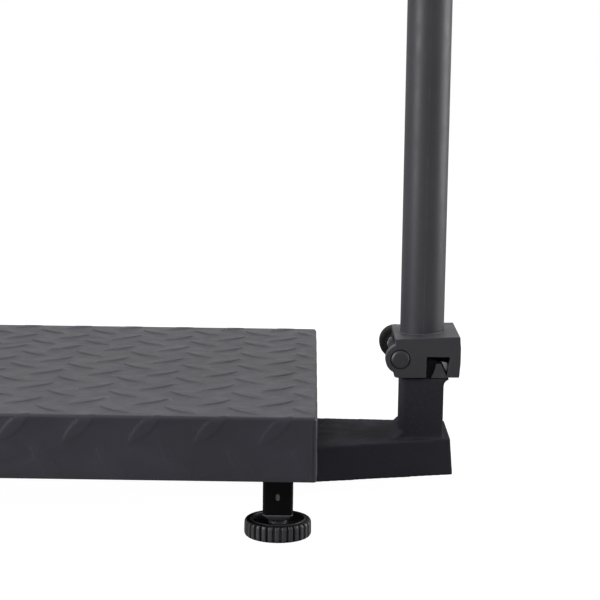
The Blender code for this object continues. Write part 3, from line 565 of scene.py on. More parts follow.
def cast(name, node, voxel, passes, finish, body, added=()):
    """A CAD solid remade with the soft edges and inner corners of a casting. The added
    bmeshes are melted into it."""
    shape = bmesh.new()
    shape.from_mesh(frame["nodes"][node].data)
    for extra in added:
        shape.from_mesh(to_mesh("added", extra))
    bmesh.ops.remove_doubles(shape, verts=shape.verts, dist=WELD_REACH)
    made = piece(name, shape, finish, body, [node])
    remesh = made.modifiers.new("remesh", "REMESH")
    remesh.mode = "VOXEL"
    remesh.voxel_size = voxel
    smooth = made.modifiers.new("smooth", "SMOOTH")
    smooth.iterations = passes
    settle(made, 180)


def soften(node, width, finish, segments=2):
    """Keeps a CAD node, with a finish and slightly rounded edges."""
    made = frame["nodes"][node]
    made.data.materials.clear()
    made.data.materials.append(FINISHES[finish])
    weld = made.modifiers.new("weld", "WELD")
    weld.merge_threshold = WELD_REACH
    bevel = made.modifiers.new("edge", "BEVEL")
    bevel.width = width
    bevel.segments = segments
    bevel.limit_method = "ANGLE"
    bevel.angle_limit = math.radians(35)
    bevel.harden_normals = True


# ---- pan
def lug_height(u, v):
    """Height of the tread's lugs at unrolled places on the sheet."""
    total = np.zeros_like(u)
    pan_low, pan_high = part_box("pan")
    for lean, reach_x, reach_y in ((1, 0.0321, 0.0487), (-1, 0.0065, 0.0200)):
        along_x = u - (pan_high.x - reach_x)
        along_y = v - (pan_low.y + reach_y)
        along_x = along_x - LUG_PITCH[0] * np.round(along_x / LUG_PITCH[0])
        along_y = along_y - LUG_PITCH[1] * np.round(along_y / LUG_PITCH[1])
        cos, sin = math.cos(LUG_ANGLE), math.sin(LUG_ANGLE)
        along = lean * along_x * cos + along_y * sin
        across = lean * -along_x * sin + along_y * cos
        lens = np.clip(1 - (along / LUG_HALF_LENGTH) ** 2, 0, 1)
        share = np.clip(np.abs(across) / (LUG_HALF_WIDTH * lens + 1e-9), 0, 1)
        total += LUG_HEIGHT * np.sqrt(lens) * (1 - share**LUG_SHOULDER)
    return total * edge_share(u, v)


def edge_share(u, v):
    """How much of a lug is left near the sheet's bends, where the press flattened it."""
    low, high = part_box("pan")
    share = np.ones_like(u)
    for place, edge in ((u, low.x), (u, high.x), (v, high.y), (v, low.y)):
        reach = FLATTENED_REACH if edge != low.y else FRONT_REACH
        near = np.clip(np.abs(place - edge) / reach, 0, 1)
        share *= near * near * (3 - 2 * near)
    return share


def sheet_steps(half):
    """Places across the pan, close together beside its bends."""
    fine = half - PAN_FINE_REACH
    coarse = np.linspace(-fine, fine, 2 * math.ceil(fine / PAN_STEP) + 1)
    beside = np.linspace(fine, half, math.ceil(PAN_FINE_REACH / PAN_FINE_STEP) + 1)[1:]
    return np.concatenate([-beside[::-1], coarse, beside])


def pan_outline(xs, ys):
    """(x, y, direction x, direction y, distance past the seam's side of the corner) of each
    point round the flat part of the pan, going round its corners on the spot."""
    turns = np.linspace(0, math.pi / 2, 15)[1:-1]
    half_x, half_y = xs[-1], ys[-1]
    rows = [(x, -half_y, 0, -1, abs(x) - half_x) for x in xs]
    for turn in turns:
        rows.append((half_x, -half_y, math.sin(turn), -math.cos(turn), turn * PAN_BEND))
    rows += [(half_x, y, 1, 0, 1) for y in ys]
    for turn in turns:
        past = (math.pi / 2 - turn) * PAN_BEND
        rows.append((half_x, half_y, math.cos(turn), math.sin(turn), past))
    half = np.array(rows)
    return np.concatenate([half, half * (-1, -1, -1, -1, 1)])


def skirt_profile(depth):
    """(outward, down, length along the sheet, outer face or not) from the top's edge, over
    the bend, down the skirt, round its rim and up its inner face."""
    rows = []
    for turn in np.linspace(0, math.pi / 2, 10):
        down = PAN_BEND * (1 - math.cos(turn))
        rows.append((PAN_BEND * math.sin(turn), down, PAN_BEND * turn, 1))
    rim = 0.0004
    downs = np.linspace(PAN_BEND, depth - rim, math.ceil((depth - PAN_BEND) / SKIRT_STEP))[1:]
    for down in downs:
        rows.append((PAN_BEND, down, PAN_BEND * (math.pi / 2 - 1) + down, 1))
    inner = PAN_BEND - PAN_SHEET
    rows += [(PAN_BEND - rim * 0.3, depth - rim * 0.3, 0, 0), (PAN_BEND - rim, depth, 0, 0)]
    rows += [(inner + rim, depth, 0, 0), (inner + rim * 0.3, depth - rim * 0.3, 0, 0)]
    rows += [(inner, depth - rim, 0, 0), (inner, PAN_BEND, 0, 0)]
    for turn in (60, 30, 0):
        angle = math.radians(turn)
        rows.append((inner * math.sin(angle), PAN_BEND - inner * math.cos(angle), 0, 0))
    return rows


def grid_faces(first, rows, columns, wrap):
    """Quads over a grid of points numbered from first, row by row."""
    row = np.arange(rows - 1)[:, None]
    column = np.arange(columns if wrap else columns - 1)[None, :]
    after = (column + 1) % columns
    corners = (row * columns + column, row * columns + after)
    corners += ((row + 1) * columns + after, (row + 1) * columns + column)
    spread = [first + np.broadcast_to(corner, corners[0].shape) for corner in corners]
    return np.stack(spread, -1).reshape(-1, 4)


def seam_groove(past):
    """Depth of the seam beside a corner, with a faint ridge on its other side."""
    seam = np.exp(-(((past - SEAM_START) / SEAM_HALF_WIDTH) ** 2))
    ridge = np.exp(-(((past + 2 * SEAM_START) / SEAM_HALF_WIDTH) ** 2))
    return SEAM_DEPTH * (0.3 * ridge - seam)


def skirt_rings(outline, middle, depth):
    """The pan's points over its bends, down its skirts and up inside them, ring by ring."""
    base, direction, past = outline[:, :2], outline[:, 2:4], outline[:, 4]
    straight = np.abs(direction).max(1) > 0.9999
    to_corner = np.abs(base).max(0) - np.abs(base)
    to_corner = np.where(np.abs(direction[:, 0]) > 0.5, to_corner[:, 1], to_corner[:, 0])
    fade = np.where(straight, np.clip(to_corner / 0.003, 0, 1), 0)
    groove = seam_groove(past)
    rings = []
    for outward, down, length, outer in skirt_profile(depth):
        push = np.zeros(len(base))
        if outer:
            places = base + direction * length
            push = lug_height(places[:, 0] + middle.x, places[:, 1] + middle.y) * fade
            push *= min(1.0, max(0.0, (depth - down) / 0.004))
            push *= 1 - (1 - SKIRT_LUG_SHARE) * min(1.0, down / 0.008)
            push += groove * min(1.0, max(0.0, (down - 0.006) / 0.004))
        lean = min(1.0, outward / PAN_BEND)
        flat = base + direction * (outward + push * lean)[:, None]
        rings.append(np.column_stack([flat, push * math.sqrt(1 - lean * lean) - down]))
    return rings


def make_pan():
    """The pressed tread plate: lugs, bends, skirts with a seam at each corner, and rims."""
    low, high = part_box("pan")
    middle = (low + high) / 2
    xs = sheet_steps(high.x - middle.x - PAN_BEND)
    ys = sheet_steps(high.y - middle.y - PAN_BEND)
    grid_x, grid_y = np.meshgrid(xs, ys)
    lift = lug_height(grid_x + middle.x, grid_y + middle.y)
    top = np.stack([grid_x, grid_y, lift], -1).reshape(-1, 3)
    outline = pan_outline(xs, ys)
    base, count = outline[:, :2], len(outline)
    rings = skirt_rings(outline, middle, high.z - low.z)

    faces = grid_faces(0, len(ys), len(xs), False)[:, ::-1].tolist()
    faces += grid_faces(len(top), len(rings), count, True).tolist()
    last = len(top) + (len(rings) - 1) * count
    faces.append([last + i for i in range(count) if not np.allclose(base[i], base[i - 1])])
    points = np.concatenate([top, *rings]) + np.array([middle.x, middle.y, high.z])
    mesh = bpy.data.meshes.new("tread_pan")
    mesh.from_pydata(points.tolist(), [], faces)
    shape = bmesh.new()
    shape.from_mesh(mesh)
    bmesh.ops.remove_doubles(shape, verts=shape.verts, dist=0.000001)
    made = piece("tread_pan", shape, "tread_plate", "base", ["pan"])
    thin = made.modifiers.new("thin", "DECIMATE")
    thin.ratio = 0.18
    settle(made, 180)


# ---- column and its hinge
def make_castings():
    cast("arm_body", "arm_casting", ARM_VOXEL, 3, "cast_coat", "base", [foot_of_post()])
    cast("hinge_body", "hinge_block", BLOCK_VOXEL, 2, "block_coat", "column")


def foot_of_post():
    """A hollow fillet between the post's left face and the arm's top."""
    outline = [(0.005, -0.004), (-0.0062, -0.004), (-0.0062, 0)]
    outline += [(-0.0030, 0.0014), (0, 0.0050), (0.005, 0.0060)]
    outline = [(POST_LEFT + u, POST_FOOT + v) for u, v in outline]
    return prism(outline, "Y", -POST_HALF_DEPTH, POST_HALF_DEPTH)


def make_bolt():
    """The pivot bolt with its chamfered head."""
    low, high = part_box("pivot_bolt")
    head, shank = (high.x - low.x) / 2, SHANK_RADIUS
    face, seat = head * 0.80, low.y + HEAD_LENGTH
    profile = [(0, low.y - 0.0001), (face * 0.7, low.y), (face, low.y + 0.0001)]
    profile += [(head, low.y + 0.0011), (head, seat), (shank, seat)]
    profile += [(shank, high.y - 0.0008), (shank - 0.0008, high.y), (0, high.y)]
    bolt = lathe("Y", (PIVOT.x, PIVOT.z), fillet(profile, 0.0002, 3), 72)
    piece("pivot_bolt_turned", bolt, "black_steel", "column", ["pivot_bolt"], sharp=60)


def make_clamp_knob():
    """The hand knob on the bolt's other end, with its dished back."""
    low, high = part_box("clamp_knob")
    radius, bore, hub = (high.x - low.x) / 2, KNOB_BORE, KNOB_HUB
    front, back = low.y + 0.0034, high.y
    profile = [(bore, low.y), (hub - 0.0006, low.y), (hub, front), (hub + 0.0016, front + 0.0002)]
    profile += [(radius - 0.0045, front + 0.0002), (radius - 0.0035, front)]
    profile += [(radius - 0.0016, front), (radius, front + 0.0016), (radius, back - 0.0020)]
    profile += [(radius - 0.0022, back), (radius - 0.0042, back)]
    profile += [(radius - 0.0056, back - 0.0012), (hub + 0.0012, back - 0.0012)]
    profile += [(hub, back - 0.0003), (bore, back - 0.0003)]

    def knurl(at, height, angle):
        on_rim = at > radius - 0.0008 and front + 0.0014 < height < back - 0.0014
        return -KNURL_DEPTH * (0.5 + 0.5 * math.cos(KNURLS * angle)) if on_rim else 0.0

    knob = lathe("Y", (PIVOT.x, PIVOT.z), fillet(profile, 0.0005, 3, closed=True), 360, knurl)
    piece("clamp_knob_moulded", knob, "knob_plastic", "clamp_knob", ["clamp_knob"])


def make_column():
    """The column's pipe, and the weld bead round it on the block's sloping top."""
    low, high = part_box("column_tube")
    x, radius = (low.x + high.x) / 2, (high.x - low.x) / 2
    inner = radius - COLUMN_WALL
    profile = [(radius, low.z), (radius, high.z), (inner, high.z), (inner, low.z)]
    pipe = lathe("Z", (x, 0), fillet(profile, 0.0004, 3, closed=True), COLUMN_POINTS)
    piece("column_pipe", pipe, "column_coat", "column", ["column_tube"])

    rings = []
    for step in range(8):
        turn = FULL_TURN * step / 8
        ring = []
        for i in range(COLUMN_POINTS):
            angle = FULL_TURN * i / COLUMN_POINTS
            wave = 0.03 * math.sin(31 * angle) + 0.02 * math.sin(17 * angle + 1)
            size = WELD_BEAD * (0.42 + wave)
            reach = radius + size * (0.6 + math.cos(turn))
            px, py = around((x, 0), reach, angle)
            ring.append((px, py, weld_height(px) + size * math.sin(turn)))
        rings.append(ring)
    piece("column_weld", skin(rings, closed=True), "block_coat", "column", sharp=80)


def make_stop_wedge():
    """A bare metal wedge on the tongue's right flank, seen through the block's notch."""
    outline = [(0.0366, -0.0032), (0.0415, -0.0040), (0.0436, -0.0165), (0.0431, -0.0165)]
    outline = [(PIVOT.x + u, PIVOT.z + v) for u, v in outline]
    wedge = prism(outline, "Y", -TONGUE_HALF, TONGUE_HALF, 0.0002)
    piece("stop_wedge", wedge, "zinc_steel", "base")


def make_stop_lug():
    """The arm's lug in front of the wedge, hollow where the block's cheek swings past."""
    falls = [0.0042 + 0.0126 * step / 6 for step in range(7)]
    outline = [(math.sqrt(LUG_SWING**2 - fall**2), -fall) for fall in falls]
    outline += [(0.0420, -0.0168), (0.0362, -0.0042)]
    outline = [(PIVOT.x + u, PIVOT.z + v) for u, v in outline]
    lug = prism(outline, "Y", -TONGUE_HALF, -LUG_FRONT, 0.0004)
    piece("stop_lug", lug, "block_coat", "base")


def weld_height(x):
    """Height of the hinge block's sloping top at x."""
    low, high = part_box("hinge_block")
    left, left_z = PIVOT.x - 0.0043, PIVOT.z + 0.0179
    return left_z + (x - left) / (high.x - left) * (high.z - left_z)


# ---- tubes
def tube(axis, low, high, capped=False):
    """A rectangular tube with round corners, open at both ends or capped at its end."""
    along = "XYZ".index(axis)
    u, v = [i for i in range(3) if i != along]
    halves = ((high[u] - low[u]) / 2, (high[v] - low[v]) / 2)
    centre = ((high[u] + low[u]) / 2, (high[v] + low[v]) / 2)
    outer, inner = [
        rounded_rectangle(halves[0] - inset, halves[1] - inset, TUBE_CORNER - inset, centre=centre)
        for inset in (0, TUBE_WALL)
    ]
    start, end = low[along], high[along]
    roof = end - TUBE_WALL if capped else end
    places = ((outer, end), (outer, start), (inner, start), (inner, roof))
    return skin([across(axis, outline, w) for outline, w in places], closed=not capped)


def make_tubes():
    for name, axis in (
        ("frame_beam_left", "Y"),
        ("frame_beam_right", "Y"),
        ("frame_rail_front", "X"),
        ("frame_rail_rear", "X"),
        ("spider_bar_left", "Y"),
        ("spider_bar_right", "Y"),
    ):
        piece(f"{name}_tube", tube(axis, *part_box(name)), "powder_coat", "base", [name])


def weld_bead(name, x, y, low, high):
    """A rippled upright bead between two heights."""
    start, end = low + WELD_END, high - WELD_END
    length = end - start
    rings = [[(x, y, start)]]
    steps = int(length / WELD_STEP)
    for step in range(1, steps):
        along = length * step / steps
        ends = min(1.0, min(along, length - along) / WELD_SIZE) ** 0.5
        reach = WELD_SIZE * ends * (0.90 + 0.10 * math.sin(along / WELD_RIPPLE * FULL_TURN))
        ring = []
        for i in range(10):
            angle = FULL_TURN * (i / 10 + 1 / 8)
            ring.append((*around((x, y), reach, angle), start + along))
        rings.append(ring)
    rings.append([(x, y, end)])
    piece(name, skin(rings), "powder_coat", "base", sharp=80)


def make_frame_welds():
    """Beads where the rails meet the beams and where the legs meet the beams."""
    for rail in ("front", "rear"):
        low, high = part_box(f"frame_rail_{rail}")
        for side, x in (("left", low.x), ("right", high.x)):
            for number, y in enumerate((low.y, high.y)):
                weld_bead(f"weld_rail_{rail}_{side}_{number}", x, y, low.z, high.z)
    beam_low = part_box("frame_beam_left")[0].z
    for corner in CORNERS:
        low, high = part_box(f"leg_{corner}")
        y = low.y if low.y > 0 else high.y
        for number, x in enumerate((low.x, high.x)):
            weld_bead(f"weld_leg_{corner}_{number}", x, y, beam_low, high.z)


# ---- feet
def make_leg(corner):
    """The leg's tube with the slot that its plug's tab snaps into."""
    name = f"leg_{corner}"
    low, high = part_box(name)
    out = math.copysign(1, low.y)
    face = high.y if out > 0 else low.y
    centre = ((low.x + high.x) / 2, low.z + SLOT_HEIGHT)
    made = piece(f"{name}_tube", tube("Z", low, high, True), "powder_coat", "base", [name])
    slot = rounded_rectangle(*SLOT_HALF, 0.00205, centre=centre)
    cut(made, [prism(slot, "Y", face - out * 0.004, face + out * 0.004)])
    tab = rounded_rectangle(*TAB_HALF, 0.0018, centre=centre)
    shape = prism(tab, "Y", face - out * 0.0018, face - out * 0.0002, 0.0006)
    piece(f"leg_tab_{corner}", shape, "plug_plastic", "base")


def octagon(centre, reach, corner_cut):
    """A square with cut and slightly rounded corners."""
    points = []
    for i, (u, v) in enumerate(((1, -1), (1, 1), (-1, 1), (-1, -1))):
        near = (u * reach, v * (reach - corner_cut))
        far = (u * (reach - corner_cut), v * reach)
        points += [near, far] if i % 2 else [far, near]
    return [(centre[0] + p, centre[1] + q) for p, q in fillet(points, 0.0006, 2, closed=True)]


def make_leg_plug(corner):
    """The leg's lower plug: a tapered eight-sided collar under the tube."""
    name = f"leg_plug_{corner}"
    low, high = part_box(name)
    leg_low, leg_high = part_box(f"leg_{corner}")
    centre = Vector(((low.x + high.x) / 2, (low.y + high.y) / 2))
    half = (leg_high.x - leg_low.x) / 2
    inner, top = half - TUBE_WALL - CLEARANCE, leg_low.z - CLEARANCE
    levels = [(0.0081, 0.0037, low.z), (0.0086, 0.0038, low.z + 0.0003)]
    levels += [(half - 0.0004, 0.0033, low.z + 0.0037), (half, 0.0030, low.z + 0.0043)]
    levels += [(half, 0.0022, top - 0.0004), (half - 0.0003, 0.0022, top)]
    levels += [(inner, 0.0010, top), (inner, 0.0010, high.z)]
    rings = [across("Z", octagon(centre, reach, corner_cut), z) for reach, corner_cut, z in levels]
    away = [(Vector(point[:2]) - centre).normalized() for point in rings[0]]
    hole = [centre + direction * PLUG_BORE for direction in away]
    rings += [across("Z", hole, z) for z in (high.z, low.z)]
    piece(f"{name}_moulded", skin(rings, closed=True), "plug_plastic", "base", [name], sharp=30)


def make_wheel(name, centre, rim, recess, roof):
    """The foot's wheel: ribs, a dished top and a recess for the sole."""
    top, bottom, hub = WHEEL_TOP, WHEEL_BOTTOM, HUB_RADIUS
    profile = [(0, roof), (recess, roof), (recess, bottom), (rim - 0.0011, bottom)]
    profile += [(rim - 0.0003, bottom + 0.0010), (rim, bottom + 0.0026)]
    profile += [(rim - 0.0001, top - 0.0022), (rim - 0.0008, top - 0.0006), (rim - 0.0018, top)]
    profile += [(0.0221, top), (0.0217, top + 0.0006), (0.0211, top + 0.0006)]
    profile += [(0.0205, top - 0.0002), (0.0188, top - 0.0014), (0.0150, top - 0.0029)]
    profile += [(0.0100, top - 0.0034), (hub + 0.0002, top - 0.0032)]
    profile += [(hub, HUB_TOP - 0.0004), (hub - 0.0004, HUB_TOP), (STUD_RADIUS, HUB_TOP)]

    def ribs(at, height, angle):
        if at < rim - 0.0020 or not bottom < height < top - 0.0002:
            return 0.0
        phase = (angle / FULL_TURN * WHEEL_RIBS) % 1.0
        offset = abs(phase - 0.5) / (RIB_SHARE / 2)
        rise = math.sqrt(1 - offset**6) if offset < 1 else 0.0
        return -RIB_DEPTH * (1 - rise)

    turned = [*fillet(profile, 0.0004, 3), (0, HUB_TOP)]
    wheel = lathe("Z", centre, turned, RIB_POINTS * WHEEL_RIBS, ribs)
    piece(f"{name}_wheel", wheel, "foot_plastic", name, [name], sharp=70)


def make_stud(name, centre, end):
    """The threaded stud that screws into the leg's plug."""
    start = HUB_TOP - 0.0010
    rings = [[(*centre, start)]]
    steps = int((end - start) / THREAD_PITCH * THREAD_STEPS)
    for step in range(steps + 1):
        z = start + (end - start) * step / steps
        ring = []
        for i in range(THREAD_POINTS):
            phase = (z / THREAD_PITCH - i / THREAD_POINTS) % 1.0
            reach = STUD_RADIUS - THREAD_DEPTH * abs(2 * phase - 1)
            angle = FULL_TURN * i / THREAD_POINTS
            ring.append((*around(centre, reach, angle), z))
        rings.append(ring)
    rings.append([(*centre, end)])
    piece(f"{name}_stud", skin(rings), "zinc_steel", name, sharp=50)


def make_foot(corner):
    """The wheel with its stud, and the grooved rubber sole under it."""
    name = f"foot_{corner}"
    low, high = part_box(name)
    centre = ((low.x + high.x) / 2, (low.y + high.y) / 2)
    sole_low, sole_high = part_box(f"foot_sole_{corner}")
    sole, top = (sole_high.x - sole_low.x) / 2, sole_high.z
    rim = (high.x - low.x) / 2 + WHEEL_PROUD
    make_wheel(name, centre, rim, sole + 0.0006, top + 0.0003)
    make_stud(name, centre, high.z)
    grooves = [(0, 0.0004), (0.006, 0.0004), (0.007, 0)]
    for reach in (0.010, 0.014):
        grooves += [(reach, 0), (reach + 0.0007, 0.0006), (reach + 0.0014, 0)]
    grooves += [(sole - 0.0006, 0), (sole, 0.0006), (sole, top), (0, top)]
    rubber = lathe("Z", centre, fillet(grooves, 0.0002, 2), 64)
    piece(f"{name}_sole_pad", rubber, "rubber", "base", [f"foot_sole_{corner}"], sharp=50)


# ---- screws
def socket_screw(name, node, body, head, shank, up):
    """A socket head screw along Z, with its head at the node's top or bottom."""
    low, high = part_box(node)
    x, y = (low.x + high.x) / 2, (low.y + high.y) / 2
    radius = (high.x - low.x) / 2
    sign = 1 if up else -1
    outer, tip = (high.z, low.z) if up else (low.z, high.z)
    key = radius * 0.5
    deep = outer - sign * head * 0.55
    edge = sign * 0.0006
    profile = [(0, deep), (key, deep), (key, outer - sign * 0.0004), (key + 0.0004, outer)]
    profile += [(radius - 0.0006, outer), (radius, outer - edge), (radius, outer - sign * head)]
    profile += [(shank, outer - sign * head), (shank, tip + edge), (shank - 0.0006, tip), (0, tip)]

    def hexagon(at, height, angle):
        if at > key * 1.02:
            return -0.00012 * (0.5 + 0.5 * math.cos(30 * angle)) if at > radius - 0.0001 else 0.0
        turn = (angle % (math.pi / 3)) - math.pi / 6
        return at * (math.cos(math.pi / 6) / math.cos(turn) - 1)

    made = lathe("Z", (x, y), profile, 120, hexagon)
    piece(name, made, "zinc_steel", body, [node], sharp=30)


def make_screws():
    for number in (1, 2):
        socket_screw(f"arm_bolt_{number}_socket", f"arm_bolt_{number}", "base", 0.007, 0.004, False)
        for end, up in (("fixed", False), ("free", True)):
            node = f"cell_screw_{end}_{number}"
            socket_screw(f"{node}_socket", node, "base", 0.005, 0.003, up)
    socket_screw("bracket_screw_socket", "bracket_screw", "column", 0.004, 0.003, True)


# ---- indicator
def case_piece(name, shape, finish, sharp=35, replaces=(), body="indicator"):
    """A piece made in the indicator's own frame."""
    return piece(name, shape, finish, body, replaces, HEAD_FRAME, sharp)


def shell(mouth, face, edge, draft=0.0012):
    """A case as a tray along X, with round corners and edges, open at its mouth."""
    sign = 1 if face > mouth else -1

    def ring(inset, x):
        half_y, half_z = [half - inset for half in CASE_HALF]
        corner = max(CASE_CORNER - inset, 0.0008)
        return across("X", rounded_rectangle(half_y, half_z, corner, 8), x)

    inside, curve = face - sign * CASE_WALL, edge * 0.7
    rings = [ring(CASE_WALL + curve, inside), ring(CASE_WALL + draft, inside - sign * curve)]
    rings += [ring(CASE_WALL, mouth), ring(0.0004, mouth), ring(0, mouth + sign * 0.0004)]
    for step in range(9):
        turn = math.pi / 2 * step / 8
        x = face - sign * edge * (1 - math.sin(turn))
        slope = draft * abs(x - mouth) / abs(face - mouth)
        rings.append(ring(slope + edge * (1 - math.cos(turn)), x))
    return skin(rings)


def frame_ring(outer, inner, back, front):
    """A rectangular frame along X between two outlines with the same number of points."""
    places = ((outer, back), (outer, front), (inner, front), (inner, back))
    return skin([across("X", outline, x) for outline, x in places], closed=True)


def make_front_case():
    """The front case with its openings, the window's bezel and the keys' surrounds."""
    case = shell(FRONT_MOUTH, CASE_FRONT, 0.005)
    made = case_piece("front_case_moulded", case, "housing", replaces=["indicator_front_case"])
    openings = [rounded_rectangle(0.060, 0.022, 0.002, centre=WINDOW_CENTRE)]
    openings += [rounded_rectangle(0.012, 0.007, 0.002, centre=(y, KEY_Z)) for y in KEY_PLACES]
    start, end = CASE_FRONT - CASE_CUT, CASE_FRONT + CASE_CUT + 0.001
    cut(made, [prism(opening, "X", start, end) for opening in openings], HEAD_FRAME)

    outer = rounded_rectangle(0.0640, 0.0260, 0.005, centre=WINDOW_CENTRE)
    inner = rounded_rectangle(0.0602, 0.0222, 0.0022, centre=WINDOW_CENTRE)
    bezel = frame_ring(outer, inner, CASE_FRONT + 0.0001, CASE_FRONT - 0.0011)
    bevel = case_piece("window_bezel", bezel, "overlay").modifiers.new("edge", "BEVEL")
    bevel.width = 0.0004
    bevel.segments = 2
    bevel.limit_method = "ANGLE"
    for number, y in enumerate(KEY_PLACES, 1):
        outer = rounded_rectangle(0.0140, 0.0090, 0.004, centre=(y, KEY_Z))
        inner = rounded_rectangle(0.0121, 0.0071, 0.0021, centre=(y, KEY_Z))
        collar = frame_ring(outer, inner, CASE_FRONT + 0.0001, CASE_FRONT - 0.0005)
        case_piece(f"key_surround_{number}", collar, "overlay")


def make_display():
    """The window's pane and the display behind it."""
    for name, finish, node, half, corner, front, back in (
        ("window_pane", "window", "display_window", (0.0597, 0.0217), 0.0017, -0.0258, -0.0242),
        ("display_glass", "display", "display_panel", (0.056, 0.019), 0.001, -0.0239, -0.0207),
    ):
        outline = rounded_rectangle(*half, corner, centre=WINDOW_CENTRE)
        case_piece(name, prism(outline, "X", front, back, 0.0003), finish, 30, [node])


def make_noughts():
    """Three noughts on the display's face."""
    width, height, thick = FIGURE_SIZE * 0.52, FIGURE_SIZE * 0.5, FIGURE_SIZE * FIGURE_STROKE
    for place in range(3):
        shape = bmesh.new()
        for side, up, upright in NOUGHT:
            y = WINDOW_CENTRE[0] + FIGURE_PITCH * (1 - place) - side * width
            z = WINDOW_CENTRE[1] + up * height
            half = (height if upright else width) / 2 - thick * 0.7
            outline = [(-half, 0), (-half + thick, thick), (half - thick, thick)]
            outline += [(half, 0), (half - thick, -thick), (-half + thick, -thick)]
            points = [(y + v, z + u) if upright else (y + u, z + v) for u, v in outline]
            bar = skin([across("X", points, FIGURE_FACE + lift) for lift in (0, 0.0001)])
            shape.from_mesh(to_mesh("segment", bar))
        case_piece(f"figure_{place}", shape, "segments", 30)


def raised(outline, x):
    """A mark that stands a little out of a key's face."""
    return skin([across("X", outline, x + lift) for lift in (0, 0.0002)])


def ring_mark(centre, start, end, x):
    """An arc between two angles."""
    turns = [math.radians(start + (end - start) * step / 32) for step in range(33)]
    outline = []
    for reach, order in ((MARK_REACH + MARK_LINE, turns), (MARK_REACH - MARK_LINE, turns[::-1])):
        outline += [around(centre, reach, turn) for turn in order]
    return raised(outline, x)


def bar_mark(centre, half_y, half_z, x):
    return raised(rounded_rectangle(half_y, half_z, min(half_y, half_z) * 0.9, 4, centre), x)


def key_marks(number, y, x):
    """A key's plain marks: power, zero, down arrow or bars."""
    centre, line = (y, KEY_Z), MARK_LINE
    if number == 1:
        stroke = bar_mark((y, KEY_Z + MARK_REACH), line, 0.0014, x)
        return [ring_mark(centre, 125, 415, x), stroke]
    if number == 2:
        return [ring_mark(centre, 0, 180, x), ring_mark(centre, 180, 360, x)]
    if number == 3:
        stem = bar_mark((y, KEY_Z + 0.0006), line, 0.0024, x)
        return [bar_mark((y, KEY_Z - 0.0028), 0.0030, line, x), stem]
    return [bar_mark((y, KEY_Z + lift), 0.0030, line, x) for lift in (-0.002, 0, 0.002)]


def make_keys():
    """Key caps with crowned faces and plain marks."""
    flange, face = KEY_FLANGE, KEY_FACE
    levels = [(0.004, 0.004, 0.001, -0.0136), (0.004, 0.004, 0.001, flange + 0.0015)]
    levels += [(0.0135, 0.0085, 0.0025, flange + 0.0015), (0.0135, 0.0085, 0.0025, flange)]
    levels += [(0.0117, 0.0067, 0.0018, flange), (0.0117, 0.0067, 0.0018, face + 0.0009)]
    levels += [(0.0114, 0.0064, 0.0017, face + 0.0003), (0.0106, 0.0056, 0.0014, face)]
    for number, y in enumerate(KEY_PLACES, 1):
        name = f"key_{number}"
        rings = []
        for half_y, half_z, corner, x in levels:
            outline = rounded_rectangle(half_y, half_z, corner, 6, (y, KEY_Z))
            rings.append(across("X", outline, x))
        case_piece(f"{name}_cap", skin(rings), "key_grey", 35, [name], name)
        for index, mark in enumerate(key_marks(number, y, face - 0.0001)):
            case_piece(f"{name}_mark_{index}", mark, "marking", 30, (), name)


def make_rear_case():
    """The rear case with its bores and vents, its battery door and its screws."""
    back = CASE_BACK
    case = shell(BACK_MOUTH, back, 0.006)
    made = case_piece("rear_case_moulded", case, "housing", replaces=["indicator_rear_case"])
    cutters = []
    for start, end in ((-0.09, -0.11), (0.09, 0.11)):
        bore = [(0, start), (0.0033, start), (0.0033, end), (0, end)]
        cutters.append(lathe("Y", (0, 0), bore, 32))
    for row in range(5):
        slot = rounded_rectangle(0.018, 0.0011, 0.001, centre=(0.055, 0.020 + row * 0.006))
        cutters.append(prism(slot, "X", back - 0.0012, back + 0.003))
    cut(made, cutters, HEAD_FRAME)
    door = rounded_rectangle(0.052, 0.026, 0.004, centre=(0, -0.026))
    case_piece("battery_door", prism(door, "X", back - 0.0004, back + 0.0008, 0.0005), "housing")
    for row in range(3):
        grip = rounded_rectangle(0.010, 0.0008, 0.0007, centre=(0, -0.010 - row * 0.003))
        grip = prism(grip, "X", back + 0.0006, back + 0.0013, 0.0003)
        case_piece(f"door_grip_{row}", grip, "housing")
    profile = [(0, 0.0002), (0.0009, 0.0002), (0.0011, 0.0009), (0.0026, 0.0006)]
    profile += [(0.0030, 0), (0.0030, -0.0006), (0, -0.0006)]
    profile = [(radius, back + height) for radius, height in profile]
    for number, centre in enumerate(SCREW_PLACES):
        case_piece(f"case_screw_{number}", lathe("X", centre, profile, 32), "zinc_steel", 40)


def knob_lobes(at, height, angle):
    """How far a tilt knob's eight lobes stand out."""
    return 0.0009 * max(0.0, at - 0.0085) / 0.0045 * math.cos(8 * angle)


def make_tilt_knobs():
    """The knobs at both sides of the indicator, each with its screw."""
    inner, outer = TILT_KNOB_INNER, TILT_KNOB_OUTER
    profile = [(0, 0.092), (0.0025, 0.092), (0.003, 0.0925), (0.003, inner), (0.0085, inner)]
    profile += [(0.0118, inner), (0.0121, inner + 0.0015), (0.0121, outer - 0.0025)]
    profile += [(0.0105, outer - 0.0004), (0.0085, outer), (0.0060, outer - 0.0006)]
    profile += [(0.0050, outer - 0.0012), (0, outer - 0.0012)]
    for side, name in ((-1, "front"), (1, "rear")):
        node = f"tilt_knob_{name}"
        turned = fillet([(radius, side * reach) for radius, reach in profile], 0.0006, 3)
        knob = lathe("Y", (0, 0), turned, 144, knob_lobes)
        case_piece(f"{node}_moulded", knob, "black_plastic", 50, [node], node)


